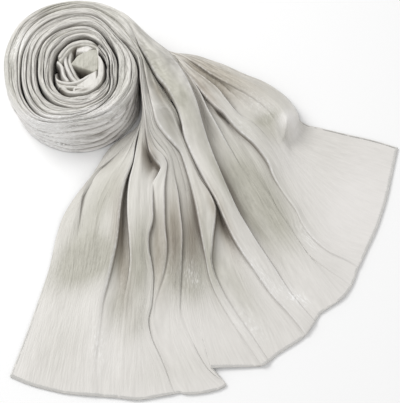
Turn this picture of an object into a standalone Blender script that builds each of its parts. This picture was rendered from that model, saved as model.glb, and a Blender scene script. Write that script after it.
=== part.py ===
"""Satin scarf lying on a surface: one end rolled into a standing spiral, the other fanned out flat.

The cloth is one rectangle. Its pleats run along it. At one end it is rolled up, and the roll
stands on its edge. The band then leaves the roll at the neck and spreads into a fan of folds.
Every size below is in millimetres. Bearings are in degrees, counted from +X towards +Y.
"""
from collections import namedtuple

import bpy
import numpy as np

METRES = 0.001

# The cloth and the clearance that pieces keep from each other
CLOTH_WALL = 1.3
SEAM_GAP = 0.35
HEM_WIDTH = 4.6
HEM_WALL = 2.0
SIDE_HEM_WIDTH = 3.0
FLAT_RISE = 1.3

# Moves the tables' own zero to the middle of the finished part's box
TABLE_SHIFT = (-1.56, -3.39)

# The roll, seen from above: radius of each side of the band, at every eighth of a turn
ROLL_MIDDLE = (-139.0, 144.0)
ROLL_HEIGHT = 60.0
EIGHTH = 45.0
Ring = namedtuple("Ring", "name east north_east north north_west west south_west south south_east")
BAND_SIDES = (
    Ring("outer fold", 72.0, 91.0, 98.0, 104.0, 95.0, 89.0, 66.0, 66.0),
    Ring("second side", 65.5, 61.0, 77.0, 79.0, 72.5, 76.0, 58.0, 48.0),
    Ring("third side", 42.0, 46.5, 61.0, 62.0, 54.5, 54.0, 49.0, 42.5),
    Ring("inner side", 32.0, 37.0, 47.0, 41.0, 35.5, 38.0, 33.0, 30.0),
    Ring("core side", 28.0, 31.0, 34.0, 32.0, 30.0, 31.0, 29.0, 28.0),
)
WALL_FOOT = Ring("foot", 70.0, 86.0, 92.0, 96.0, 90.0, 86.0, 80.0, 74.0)
# Over these bearings the wall stops flaring and stands upright against the fan's folds
UPRIGHT_FROM = 335.0
UPRIGHT_OVER = 20.0
OUTER_FOLD_HEIGHT = Ring("height", 50.0, 48.0, 50.0, 46.0, 42.0, 42.0, 50.0, 46.0)

# Where the outermost turn ends and the fan takes over, and how far each turn runs
LEAVING_BEARING = 62.0
TURN = 360.0
TURN_STEP = 15.0
TURNS = 3

# Folds that show along the top of a turn, from its inner side to its outer side
TopFold = namedtuple("TopFold", "place height ruffle")
INNER_FOLDS = (
    TopFold(0.00, -7.0, 0.0),
    TopFold(0.12, -0.5, 1.5),
    TopFold(0.26, -10.0, 1.0),
    TopFold(0.42, 0.0, 1.5),
    TopFold(0.58, -8.0, 1.5),
    TopFold(0.74, -1.0, 1.5),
    TopFold(0.86, -6.0, 1.0),
    TopFold(1.00, -6.0, 0.0),
)
OUTER_FOLDS = (
    TopFold(0.00, -8.0, 0.0),
    TopFold(0.13, -1.0, 1.0),
    TopFold(0.30, -10.0, 2.0),
    TopFold(0.62, 0.0, 1.0),
)
# Ripples down the outside of the outermost turn, as shares of the way from its fold to its foot
WallRipple = namedtuple("WallRipple", "share swell")
WALL_RIPPLES = (
    WallRipple(0.18, 1.5),
    WallRipple(0.34, -1.8),
    WallRipple(0.52, 2.2),
    WallRipple(0.68, -1.8),
    WallRipple(0.84, 2.0),
)
RUFFLES_A_TURN = 7

# The crumpled inner end of the cloth, at the middle of the spiral
CORE_RINGS = 6
CORE_STEP = 12.0
CORE_CLEARANCE = 1.0
CORE_BEARINGS = 32
CORE_RISE = 44.0
CORE_PIT_DEPTH = 22.0
CoreFold = namedtuple("CoreFold", "bearing reach width rise")
CORE_FOLDS = (
    CoreFold(15.0, 0.72, 26.0, 13.0),
    CoreFold(80.0, 0.66, 22.0, 9.0),
    CoreFold(145.0, 0.70, 24.0, 12.0),
    CoreFold(205.0, 0.62, 22.0, 10.0),
    CoreFold(270.0, 0.70, 24.0, 8.0),
    CoreFold(320.0, 0.60, 20.0, 11.0),
)

# The fan. Each row is one fold line, from the scarf's left edge to its right edge, and each
# column is a section across the fan: the place (x, y) where the line crosses it and its rise.
FoldLine = namedtuple("FoldLine", "name beside neck shoulder middle skirt flare hem")
FOLD_LINES = (
    FoldLine("left edge", (-75.0, 158, 0), (-71, 104, 0), (-105, 70, 2),
             (-157, -17, 3), (-173, -81, 2), (-192, -157, 1.5), (-211, -210, 1.3)),
    FoldLine("left turn", (-74.7, 158, 10), (-70.4, 103, 8), (-99, 66, 12),
             (-151, -22, 13), (-161, -82, 6), (-174, -153, 3), (-188, -222, 1.6)),
    FoldLine("left crease", (-74.4, 158, 20), (-69.8, 102.3, 14), (-92, 64, 9),
             (-140, -20, 8), (-144, -80, 3), (-158, -151, 2), (-168, -225, 1.3)),
    FoldLine("first fold", (-74.1, 158, 32), (-69.2, 101.5, 24), (-79, 57, 24),
             (-94, -15, 24), (-100, -85, 15), (-112, -151, 9), (-117, -232, 4)),
    FoldLine("first valley", (-73.8, 158, 42), (-68.6, 100.7, 30), (-76.5, 57, 8),
             (-90, -14, 4), (-92, -85, 3), (-99, -151, 2.5), (-106, -233, 1.5)),
    FoldLine("second fold", (-73.5, 158, 52), (-67.7, 99.8, 40), (-74, 57, 28),
             (-85, -13, 23), (-80, -84, 11), (-75, -151, 4), (-71, -236, 2.5)),
    FoldLine("second brim", (-72.9, 158, 58), (-66, 98.6, 50), (-59, 53, 30),
             (-57, -14, 25), (-56, -85, 14), (-60, -149, 9), (-34, -228, 6)),
    FoldLine("hollow", (-71.8, 158.5, 52), (-64.6, 98, 45), (-53, 51, 5),
             (-52, -14, 4), (-52, -86, 3), (-56, -149, 2.5), (-26, -229, 1.5)),
    FoldLine("third fold", (-71.0, 159, 57), (-63, 97.6, 50), (-47, 51, 30),
             (-46, -14, 23), (-47, -87, 12), (-45, -149, 4), (-14, -230, 4)),
    FoldLine("third valley", (-70.2, 159.5, 53), (-61.3, 97.6, 46), (-40, 48, 20),
             (-40, -14, 4), (-39, -88, 3), (-36, -149, 2.5), (0, -229, 1.5)),
    FoldLine("low step", (-69.5, 160, 56), (-59.6, 98, 49), (-32, 47, 28),
             (-25, -13, 9), (-23, -89, 6), (-18, -150, 5), (24, -224, 3.5)),
    FoldLine("fourth valley", (-68.7, 160.5, 51), (-57.8, 98.6, 45), (-21, 47, 23),
             (-6, -10, 4), (-9, -90, 2.5), (0, -147, 2.5), (18, -207, 1.5)),
    FoldLine("fourth fold", (-67.6, 161.5, 56), (-50, 103, 50), (-13, 45, 32),
             (3, -12, 26), (9, -90, 18), (34, -140, 10), (73, -200, 4)),
    FoldLine("fifth valley", (-65, 162.5, 38), (-33, 114, 30), (-7, 44, 26),
             (17, -11, 9), (30, -86, 4), (50, -130, 2.5), (85, -189, 1.5)),
    FoldLine("fifth fold", (-61, 164, 52), (-27, 117, 42), (-1, 41, 36),
             (24, -10, 32), (66, -82, 18), (97, -122, 8), (120, -160, 5)),
    FoldLine("fifth brim", (-36, 173, 42), (-7, 123, 40), (13, 46, 36),
             (30, -7, 31), (75, -81, 17), (104, -114, 8), (128, -147, 5)),
    FoldLine("sixth valley", (-33, 174, 34), (0, 124, 28), (20, 52, 18),
             (39, -2, 4), (83, -75, 3), (113, -105, 2.5), (136, -131, 1.5)),
    FoldLine("sixth fold", (-31, 174.3, 35), (7, 125, 32), (33, 67, 25),
             (73, 5, 9), (108, -62, 6), (140, -84, 4.5), (168, -110, 3.5)),
    FoldLine("seventh valley", (-28, 174.8, 32), (16, 124, 22), (50, 85, 18),
             (92, 19, 6), (118, -53, 3), (150, -75, 2), (176, -95, 1.5)),
    FoldLine("seventh fold", (-22, 175.5, 36), (23, 127, 29), (62, 90, 24),
             (101, 24, 11), (128, -44, 7), (158, -67, 5), (184, -79, 4)),
    FoldLine("eighth valley", (-15, 176.5, 30), (33, 130, 20), (74, 96, 17),
             (110, 38, 4), (139, -18, 2.5), (170, -47, 2), (192, -61, 1.5)),
    FoldLine("turned-under fold", (-8, 177.5, 32), (55, 130, 27), (95, 92, 28),
             (115, 68, 4), (154, 14, 2.5), (186, -14, 1.8), (206, -32, 2)),
    FoldLine("ninth valley", (-1, 178.5, 26), (66, 133, 21), (103, 98, 22),
             (123, 80, 3), (167, 42, 2), (198, 14, 1.6), (216, -3, 1.5)),
    FoldLine("turned-under edge", (7, 179.5, 26), (77, 139, 22), (111, 104, 23),
             (132, 91, 2.5), (177, 66, 1.8), (204, 47, 1.5), (227, 33, 1.5)),
    FoldLine("right edge", (14, 187, 3), (88, 148, 3), (121, 108, 2),
             (145, 96, 1.5), (188, 83, 1.5), (214, 75, 1.4), (238, 68, 1.3)),
)
# How finely the fan is divided: pieces between fold lines, and rows between sections
PIECES_BETWEEN_LINES = 2
ROWS_BETWEEN_SECTIONS = (4, 4, 4, 5, 5, 4, 3)
# Down to the neck the fan is heaped and solid below; from the shoulder on it is a single wall
HEAPED_SECTIONS = 2.0
OPEN_SECTIONS = 3.0
# The fan keeps this far off the roll's wall, plus a little more for each column of points
ROLL_CLEARANCE = 1.1
ROLL_CLEARANCE_STEP = 0.12
BESIDE_ROLL_FROM = -85.0
# Side hems show from these places along the fan, counted in sections
LEFT_HEM_START = 5.0
RIGHT_HEM_START = 3.3
# The cloth edge steps in beside a hem over this much of a section
HEM_RUN_IN = 0.19

Finish = namedtuple("Finish", "name colour roughness")
CLOTH_FINISH = Finish("silver_satin", (0.62, 0.61, 0.57), 0.38)
CORE_FINISH = Finish("silver_satin_shaded", (0.52, 0.51, 0.47), 0.40)
HEM_FINISH = Finish("hem_thread", (0.50, 0.50, 0.48), 0.55)


def clear_scene():
    """Remove whatever the startup file holds."""
    for item in list(bpy.data.objects):
        bpy.data.objects.remove(item, do_unlink=True)


def material(finish):
    """Return the Principled material for a finish, made once."""
    found = bpy.data.materials.get(finish.name)
    if found:
        return found
    made = bpy.data.materials.new(finish.name)
    made.use_nodes = True
    shader = made.node_tree.nodes["Principled BSDF"]
    shader.inputs["Base Color"].default_value = (*finish.colour, 1.0)
    shader.inputs["Roughness"].default_value = finish.roughness
    shader.inputs["Metallic"].default_value = 0.0
    return made


def smooth_through(knots, values, wanted):
    """Return the values at the wanted places, on cubics that never overshoot the knots' values."""
    knots = np.asarray(knots, float)
    values = np.asarray(values, float)
    wanted = np.asarray(wanted, float)
    if wanted.ndim == 0:
        return smooth_through(knots, values, wanted[None])[0]
    steps = np.diff(knots)
    shape = (-1,) + (1,) * (values.ndim - 1)
    rises = np.diff(values, axis=0) / steps.reshape(shape)
    slopes = np.empty_like(values)
    slopes[0] = rises[0]
    slopes[-1] = rises[-1]
    before = rises[:-1]
    after = rises[1:]
    product = before * after
    total = before + after
    safe = np.where(np.abs(total) > 1e-12, total, 1.0)
    slopes[1:-1] = np.where(product > 0, 2.0 * product / safe, 0.0)
    index = np.clip(np.searchsorted(knots, wanted, side="right") - 1, 0, len(knots) - 2)
    width = steps[index].reshape((-1,) + shape[1:])
    t = ((wanted - knots[index]) / steps[index]).reshape((-1,) + shape[1:])
    start = (1 + 2 * t) * (1 - t) ** 2 * values[index] + t * (1 - t) ** 2 * width * slopes[index]
    end = t * t * (3 - 2 * t) * values[index + 1] + t * t * (t - 1) * width * slopes[index + 1]
    return start + end


def ring_value(ring, bearing):
    """Read a ring's value at any bearing, round and round."""
    values = np.array(ring[1:], float)
    looped = np.concatenate([values[-2:], values, values[:3]])
    places = (np.arange(len(looped)) - 2) * EIGHTH
    return smooth_through(places, looped, np.mod(bearing, TURN))


def band_side(bearing):
    """Radius of the band's outer side, the bearing counted on inwards over every turn."""
    values = np.concatenate([ring[1:] for ring in BAND_SIDES])
    places = np.arange(len(values)) * EIGHTH
    return smooth_through(places, values, bearing)


def wall_foot(bearing):
    """Radius of the outermost turn's wall where it meets the floor, and how upright it stands."""
    upright = np.clip((np.asarray(bearing, float) - UPRIGHT_FROM) / UPRIGHT_OVER, 0.0, 1.0)
    side = band_side(bearing)
    return side + (ring_value(WALL_FOOT, bearing) - side) * (1.0 - upright), upright


def roll_point(bearing, radius, height):
    """Turn a bearing, radius and height about the roll's middle into a point."""
    angle = np.radians(bearing)
    return (ROLL_MIDDLE[0] + radius * np.cos(angle), ROLL_MIDDLE[1] + radius * np.sin(angle), height)


def ruffle(bearing, index):
    """Rise and fall of a fold's top along the turn, from -1 to 1."""
    return np.sin(np.radians(bearing) * RUFFLES_A_TURN + 1.9 * index) * np.cos(np.radians(bearing) * 2.0 + index)


def inner_turn_section(bearing):
    """Section of a turn inside the roll: plain sides and a top with three folds."""
    inner = band_side(bearing + TURN) + SEAM_GAP
    outer = band_side(bearing) - SEAM_GAP
    points = [(inner, 0.0)]
    for index, fold in enumerate(INNER_FOLDS):
        height = ROLL_HEIGHT + fold.height + fold.ruffle * ruffle(bearing, index)
        points.append((inner + fold.place * (outer - inner), height))
    points.append((outer, 0.0))
    return points


def outer_turn_section(bearing):
    """Section of the outermost turn: folds on top, then a rippled wall down to a flared foot."""
    inner = band_side(bearing + TURN) + SEAM_GAP
    edge = band_side(bearing) - SEAM_GAP
    edge_height = ring_value(OUTER_FOLD_HEIGHT, bearing)
    foot, upright = wall_foot(bearing)
    points = [(inner, 0.0)]
    for index, fold in enumerate(OUTER_FOLDS):
        height = ROLL_HEIGHT + fold.height + fold.ruffle * ruffle(bearing, index)
        points.append((inner + fold.place * (edge - inner), height))
    points.append((edge, edge_height))
    for index, ripple in enumerate(WALL_RIPPLES):
        radius = edge + ripple.share * (foot - edge)
        swell = ripple.swell * (1.0 + 0.3 * ruffle(bearing, index)) * (1.0 - upright)
        points.append((radius + swell, edge_height * (1.0 - ripple.share)))
    points.append((foot, 0.0))
    return points


def to_vertices(points):
    """Shift points to the part's own zero and turn them into metres."""
    shifted = np.array(points, float)
    shifted[..., 0] += TABLE_SHIFT[0]
    shifted[..., 1] += TABLE_SHIFT[1]
    return shifted * METRES


def add_solid(name, vertices, faces, finish):
    """Make one named object from vertices and faces, shaded smooth with its sharp edges kept."""
    mesh = bpy.data.meshes.new(name)
    mesh.from_pydata([tuple(vertex) for vertex in vertices], [], faces)
    mesh.validate()
    mesh.materials.append(material(finish))
    mesh.shade_smooth()
    mesh.set_sharp_from_angle(angle=np.radians(50.0))
    made = bpy.data.objects.new(name, mesh)
    bpy.context.scene.collection.objects.link(made)
    return made


def add_bar(name, sections, finish):
    """Close a row of equal section loops into one solid with a cap at each end."""
    rows = len(sections)
    around = len(sections[0])
    vertices = to_vertices(sections).reshape(-1, 3)
    faces = []
    for row in range(rows - 1):
        for place in range(around):
            after = (place + 1) % around
            faces.append((row * around + place, row * around + after,
                          (row + 1) * around + after, (row + 1) * around + place))
    faces.append(tuple(reversed(range(around))))
    faces.append(tuple(range((rows - 1) * around, rows * around)))
    return add_solid(name, vertices, faces, finish)


def add_sheet(name, top, bottom, finish):
    """Close the space between two equal grids of points into one solid with a rim."""
    across, along = top.shape[:2]
    count = across * along
    vertices = np.concatenate([to_vertices(top).reshape(-1, 3), to_vertices(bottom).reshape(-1, 3)])

    def upper(i, j):
        return i * along + j

    def lower(i, j):
        return count + i * along + j

    faces = []
    for i in range(across - 1):
        for j in range(along - 1):
            faces.append((upper(i, j), upper(i, j + 1), upper(i + 1, j + 1), upper(i + 1, j)))
            faces.append((lower(i, j), lower(i + 1, j), lower(i + 1, j + 1), lower(i, j + 1)))
    for i in range(across - 1):
        faces.append((upper(i, 0), upper(i + 1, 0), lower(i + 1, 0), lower(i, 0)))
        faces.append((upper(i + 1, along - 1), upper(i, along - 1), lower(i, along - 1), lower(i + 1, along - 1)))
    for j in range(along - 1):
        faces.append((upper(0, j + 1), upper(0, j), lower(0, j), lower(0, j + 1)))
        faces.append((upper(across - 1, j), upper(across - 1, j + 1),
                      lower(across - 1, j + 1), lower(across - 1, j)))
    return add_solid(name, vertices, faces, finish)


def make_turn(name, start, section):
    """Build one turn of the roll, from a bearing on inwards for a whole turn."""
    bearings = np.linspace(start, start + TURN - SEAM_GAP, int(TURN / TURN_STEP) + 1)
    sections = []
    for bearing in bearings:
        sections.append([roll_point(bearing, radius, height) for radius, height in section(bearing)])
    return add_bar(name, sections, CLOTH_FINISH)


def core_height(bearing, share):
    """Height of the crumpled inner end: a pit off its middle, with folds lying round it."""
    height = CORE_RISE - CORE_PIT_DEPTH * np.exp(-((share / 0.45) ** 2))
    for fold in CORE_FOLDS:
        apart = (bearing - fold.bearing + 180.0) % TURN - 180.0
        near = np.exp(-((apart / fold.width) ** 2) - ((share - fold.reach) / 0.22) ** 2)
        height += fold.rise * near
    return height


def make_core():
    """Build the crumpled inner end as one rounded solid with a flat underside."""
    vertices = []
    faces = []
    bearings = np.arange(CORE_BEARINGS) * TURN / CORE_BEARINGS
    for ring in range(1, CORE_RINGS + 1):
        share = ring / CORE_RINGS
        for bearing in bearings:
            turns_in = TURNS + 1 if bearing < LEAVING_BEARING + CORE_STEP else TURNS
            side = band_side(bearing + turns_in * TURN) - CORE_CLEARANCE
            drop = 5.0 if ring == CORE_RINGS else 0.0
            vertices.append(roll_point(bearing, share * side, core_height(bearing, share) - drop))
    rim = (CORE_RINGS - 1) * CORE_BEARINGS
    for index in range(CORE_BEARINGS):
        x, y, _ = vertices[rim + index]
        vertices.append((x, y, 0.0))
    vertices.append(roll_point(0.0, 0.0, core_height(0.0, 0.0)))
    middle = len(vertices) - 1
    for index in range(CORE_BEARINGS):
        after = (index + 1) % CORE_BEARINGS
        faces.append((middle, index, after))
        for ring in range(CORE_RINGS):
            near = ring * CORE_BEARINGS
            far = near + CORE_BEARINGS
            faces.append((near + index, far + index, far + after, near + after))
    base = CORE_RINGS * CORE_BEARINGS
    faces.append(tuple(base + index for index in reversed(range(CORE_BEARINGS))))
    return add_solid("roll_core", to_vertices(vertices), faces, CORE_FINISH)


def leaving_line_points():
    """Spread the fold lines along the band's section where the fan takes over from the roll."""
    section = outer_turn_section(LEAVING_BEARING)
    lengths = np.concatenate([[0.0], np.cumsum(np.hypot(*np.diff(np.array(section), axis=0).T))])
    wanted = np.linspace(0.0, lengths[-1], len(FOLD_LINES))
    radii = np.interp(wanted, lengths, [radius for radius, _ in section])
    heights = np.interp(wanted, lengths, [height for _, height in section])
    start = LEAVING_BEARING - SEAM_GAP
    return np.array([roll_point(start, radius, height) for radius, height in zip(radii, heights)])


def fan_surface():
    """Return the fan's upper points and their places along it, counted in sections.

    Fold lines run along the fan on smooth curves through their places in the table. Between
    two neighbouring lines the cloth is straight.
    """
    net = np.array([[line[1:]] for line in FOLD_LINES], float)[:, 0]
    net = np.concatenate([leaving_line_points()[:, None, :], net], axis=1)
    places = [np.linspace(section, section + 1, rows, endpoint=False)
              for section, rows in enumerate(ROWS_BETWEEN_SECTIONS)]
    places = np.append(np.concatenate(places), len(ROWS_BETWEEN_SECTIONS))
    lines = smooth_through(np.arange(net.shape[1]), net.transpose(1, 0, 2), places).transpose(1, 0, 2)
    count = (len(FOLD_LINES) - 1) * PIECES_BETWEEN_LINES + 1
    across = np.arange(count) / PIECES_BETWEEN_LINES
    index = np.minimum(across.astype(int), len(FOLD_LINES) - 2)
    share = (across - index)[:, None, None]
    surface = lines[index] * (1 - share) + lines[index + 1] * share
    return keep_off_roll(surface), places


def keep_off_roll(surface):
    """Move points that would touch the roll's wall outwards, each column a little further."""
    moved = surface.copy()
    away = surface[..., :2] - ROLL_MIDDLE
    radius = np.hypot(away[..., 0], away[..., 1])
    bearing = np.degrees(np.arctan2(away[..., 1], away[..., 0]))
    beside = (bearing > BESIDE_ROLL_FROM) & (bearing < LEAVING_BEARING)
    foot, _ = wall_foot(np.where(beside, bearing, 0.0).ravel() + TURN)
    column = np.arange(surface.shape[0])[:, None] * ROLL_CLEARANCE_STEP
    least = foot.reshape(radius.shape) + ROLL_CLEARANCE + column
    factor = np.where(beside & (radius < least), least / radius, 1.0)
    moved[..., 0] = ROLL_MIDDLE[0] + away[..., 0] * factor
    moved[..., 1] = ROLL_MIDDLE[1] + away[..., 1] * factor
    return moved


def pull_in(surface, places):
    """Pull the fan's edges in by the width of the hems that lie along them."""
    inner = surface.copy()
    left = np.clip((places - LEFT_HEM_START) / HEM_RUN_IN, 0, 1) * (SIDE_HEM_WIDTH + SEAM_GAP)
    right = np.clip((places - RIGHT_HEM_START) / HEM_RUN_IN, 0, 1) * (SIDE_HEM_WIDTH + SEAM_GAP)
    for side, nearer, amount in ((0, 1, left), (-1, -2, right)):
        step = surface[nearer] - surface[side]
        step /= np.linalg.norm(step, axis=1)[:, None]
        inner[side] += step * amount[:, None]
    back = inner[:, -2] - inner[:, -1]
    back /= np.linalg.norm(back, axis=1)[:, None]
    inner[:, -1] += back * (HEM_WIDTH + SEAM_GAP)
    return inner


def underside(surface, places, wall):
    """Points under a surface: a wall lower, no lower than the floor, and solid where heaped."""
    lower = surface.copy()
    open_share = np.clip((places - HEAPED_SECTIONS) / (OPEN_SECTIONS - HEAPED_SECTIONS), 0, 1)
    lower[..., 2] = np.maximum(surface[..., 2] - wall, 0.0) * open_share[None, :]
    return lower


def raise_to_wall(surface, wall):
    """Keep every upper point at least a wall above the floor."""
    raised = surface.copy()
    raised[..., 2] = np.maximum(raised[..., 2], wall)
    return raised


def make_fan():
    """Build the fan and the three stretches of hem that show."""
    surface, places = fan_surface()
    inner = pull_in(surface, places)
    upper = raise_to_wall(inner, FLAT_RISE)
    add_sheet("fan", upper, underside(upper, places, CLOTH_WALL), CLOTH_FINISH)

    end = surface[:, -1]
    step = surface[:, -2] - end
    step /= np.linalg.norm(step, axis=1)[:, None]
    strip = np.stack([end + step * HEM_WIDTH, end + step * HEM_WIDTH * 0.5, end], axis=1)
    strip = raise_to_wall(strip, HEM_WALL)
    add_sheet("hem_end", strip, underside(strip, np.full(3, OPEN_SECTIONS), HEM_WALL), HEM_FINISH)

    for name, side, start in (("hem_left", 0, LEFT_HEM_START), ("hem_right", -1, RIGHT_HEM_START)):
        rows = places > start + HEM_RUN_IN
        edge = surface[side][rows]
        inward = inner[side][rows] - edge
        inward[-1] = inward[-2]
        inward /= np.linalg.norm(inward, axis=1)[:, None]
        edge[-1] += step[side] * (HEM_WIDTH + SEAM_GAP)
        pair = [edge, edge + inward * SIDE_HEM_WIDTH]
        if side == -1:
            pair.reverse()
        strip = raise_to_wall(np.stack(pair), HEM_WALL)
        add_sheet(name, strip, underside(strip, np.full(len(edge), OPEN_SECTIONS), HEM_WALL), HEM_FINISH)


def main():
    """Build every piece of the scarf."""
    clear_scene()
    make_turn("roll_turn_outer", LEAVING_BEARING, outer_turn_section)
    make_turn("roll_turn_middle", LEAVING_BEARING + TURN, inner_turn_section)
    make_turn("roll_turn_inner", LEAVING_BEARING + 2 * TURN, inner_turn_section)
    make_core()
    make_fan()


if __name__ == "__main__":
    main()
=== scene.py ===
"""Satin scarf: one end rolled into a standing spiral, the other spread in a fan of soft folds.

Tables are in millimetres, in the plan's own zero; `place` moves them to the part's zero in metres.
Bearings are in degrees about the middle of the roll, counted from +X towards +Y. Over the turns
of the roll the bearing is counted on inwards, so 0 to 360 is the outermost turn.
"""
from __future__ import annotations

import logging
import math
from dataclasses import dataclass
from enum import Enum, IntEnum
from functools import cache
from typing import Any, Iterable, Sequence

import bpy
import numpy as np
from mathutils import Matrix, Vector

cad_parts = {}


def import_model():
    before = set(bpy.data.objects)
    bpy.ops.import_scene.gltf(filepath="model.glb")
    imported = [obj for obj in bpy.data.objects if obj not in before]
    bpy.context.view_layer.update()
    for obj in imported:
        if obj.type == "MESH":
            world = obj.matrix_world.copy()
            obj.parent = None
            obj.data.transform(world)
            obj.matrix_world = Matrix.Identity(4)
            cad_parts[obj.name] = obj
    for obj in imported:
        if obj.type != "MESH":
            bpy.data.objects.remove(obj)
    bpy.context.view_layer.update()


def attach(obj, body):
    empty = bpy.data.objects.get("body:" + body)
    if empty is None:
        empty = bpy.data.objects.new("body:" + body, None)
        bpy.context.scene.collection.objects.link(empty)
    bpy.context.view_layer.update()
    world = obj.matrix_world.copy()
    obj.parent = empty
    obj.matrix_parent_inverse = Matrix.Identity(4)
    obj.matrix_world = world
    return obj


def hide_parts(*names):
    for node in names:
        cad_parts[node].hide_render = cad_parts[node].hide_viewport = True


LOG = logging.getLogger("scarf")

METRES = 0.001  # metres in a millimetre
TURN = 360.0  # degrees in a whole turn
TABLE_SHIFT = np.array([-1.56, -3.39, 0.0])  # from the plan's zero to the part's, in millimetres
CLOTH_WIDTH = 0.70  # metres from one side hem to the other
ROLL_LOWEST = 0.4  # lowest height of the roll's sheets, in millimetres
FAN_LOWEST = 0.9  # lowest height of the fan's sheet, in millimetres
LATTICE = 257  # knots each way before the random heights repeat
LATTICE_START = 37.0  # knots between the lattice's corner and zero
ACROSS = tuple((0, way * step) for step in range(1, 15) for way in (1, -1))  # steps to the columns beside
Colour = tuple[float, float, float]


class Side(Enum):
    """The scarf's two long edges."""

    LEFT = 0
    RIGHT = -1


class Seed(IntEnum):
    """The seed of each use of the uneven waves."""

    FOLD_PLACES = 11
    BAND_WANDER = 12
    BAND_RIDGES = 13
    WALL_SLANT = 14
    RIDGE_DRIFT = 15
    PLEAT_STRENGTH = 16
    ROLL_LAYERS = 21
    WALL_STREAKS = 22
    SMALL_PLEATS = 31
    LARGE_PLEATS = 32
    FAN_LAYERS = 33
    CORE_GRAIN = 41
    CORE_SWELL = 42
    HEM_PUCKER = 51
    CREASE_PATHS = 60
    CREASE_STRENGTHS = 80


def place(points: np.ndarray) -> np.ndarray:
    """Return points of the tables, in millimetres, as points of the part, in metres."""
    return (points + TABLE_SHIFT) * METRES


def ease(share: np.ndarray) -> np.ndarray:
    """Return 3 s squared less 2 s cubed of a share held between 0 and 1."""
    held = np.clip(share, 0.0, 1.0)
    return held * held * (3.0 - 2.0 * held)


def hermite(knots: np.ndarray, values: np.ndarray, slopes: np.ndarray, wanted: np.ndarray) -> np.ndarray:
    """Return cubic pieces through values at knots that have the given slopes there.

    Args:
        knots: Rising places, shape (n,).
        values: Values at the knots, shape (n, ...).
        slopes: Slopes at the knots, shape (n, ...).
        wanted: Places to read, shape (m,).

    Returns:
        The values at the wanted places, shape (m, ...).
    """
    index = np.clip(np.searchsorted(knots, wanted, side="right") - 1, 0, len(knots) - 2)
    tail = (1,) * (values.ndim - 1)
    width = (knots[index + 1] - knots[index]).reshape(-1, *tail)
    t = (wanted - knots[index]).reshape(-1, *tail) / width
    start = (1 + 2 * t) * (1 - t) ** 2 * values[index] + t * (1 - t) ** 2 * width * slopes[index]
    end = t * t * (3 - 2 * t) * values[index + 1] + t * t * (t - 1) * width * slopes[index + 1]
    return start + end


def smooth_through(knots: Sequence[float], values: np.ndarray, wanted: np.ndarray) -> np.ndarray:
    """Return values on cubics that never overshoot: slopes are harmonic means of the steps beside a knot.

    Args:
        knots: Rising places, shape (n,).
        values: Values at the knots, shape (n, ...).
        wanted: Places to read, of any shape where values has one dimension, else shape (m,).

    Returns:
        The values at the wanted places.
    """
    knots = np.asarray(knots, float)
    values = np.asarray(values, float)
    wanted = np.asarray(wanted, float)
    steps = np.diff(knots).reshape(-1, *(1,) * (values.ndim - 1))
    rises = np.diff(values, axis=0) / steps
    product = rises[:-1] * rises[1:]
    total = rises[:-1] + rises[1:]
    slopes = np.concatenate([rises[:1], np.zeros_like(product), rises[-1:]])
    safe = np.where(np.abs(total) > 1e-12, total, 1.0)
    slopes[1:-1] = np.where(product > 0, 2.0 * product / safe, 0.0)
    read = hermite(knots, values, slopes, wanted.ravel())
    return read.reshape(wanted.shape + values.shape[1:])


def bowed_through(knots: np.ndarray, values: np.ndarray, wanted: np.ndarray) -> np.ndarray:
    """Return values on cubics whose slope at a knot is that of the parabola through its neighbours.

    Args:
        knots: Rising places, shape (n,).
        values: Values at the knots, shape (n, ...).
        wanted: Places to read, shape (m,).

    Returns:
        The values at the wanted places, shape (m, ...).
    """
    tail = (1,) * (values.ndim - 1)
    steps = np.diff(knots).reshape(-1, *tail)
    rises = np.diff(values, axis=0) / steps
    inner = (rises[:-1] * steps[1:] + rises[1:] * steps[:-1]) / (steps[:-1] + steps[1:])
    return hermite(knots, values, np.concatenate([rises[:1], inner, rises[-1:]]), wanted)


@dataclass(frozen=True)
class Unevenness:
    """Seeded smooth waves over two parameters, as uneven as hand-laid cloth."""

    seed: int
    across: float
    along: float

    def at(self, u: np.ndarray, v: np.ndarray) -> np.ndarray:
        """Return a value from -1 to 1: random heights on a lattice, eased from one to the next.

        Args:
            u: First parameter; the lattice has a knot every `across`.
            v: Second parameter; the lattice has a knot every `along`.

        Returns:
            The heights, in the broadcast shape of u and v.
        """
        u, v = np.broadcast_arrays(u / self.across + LATTICE_START, v / self.along + LATTICE_START)
        knots = np.random.default_rng(self.seed).uniform(-1.0, 1.0, (LATTICE, LATTICE))
        i = np.floor(u).astype(int)
        j = np.floor(v).astype(int)
        s = ease(u - i)
        t = ease(v - j)
        i0, i1, j0, j1 = i % LATTICE, (i + 1) % LATTICE, j % LATTICE, (j + 1) % LATTICE
        low = knots[i0, j0] * (1 - s) + knots[i1, j0] * s
        high = knots[i0, j1] * (1 - s) + knots[i1, j1] * s
        return low * (1 - t) + high * t


def run_lengths(points: np.ndarray, least: float = 0.0) -> np.ndarray:
    """Return how far along a line each of its points lies.

    Args:
        points: The line's points, shape (points, dimensions).
        least: The least that a step counts.

    Returns:
        Lengths from 0, shape (points,).
    """
    steps = np.maximum(np.linalg.norm(np.diff(points, axis=0), axis=1), least)
    return np.concatenate([[0.0], np.cumsum(steps)])


def read_rows(places: np.ndarray, values: np.ndarray, wanted: np.ndarray) -> np.ndarray:
    """Return each row's values, known at its own rising places, read at the wanted places."""
    return np.stack([np.interp(wanted, known, row) for known, row in zip(places, values)])


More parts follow.
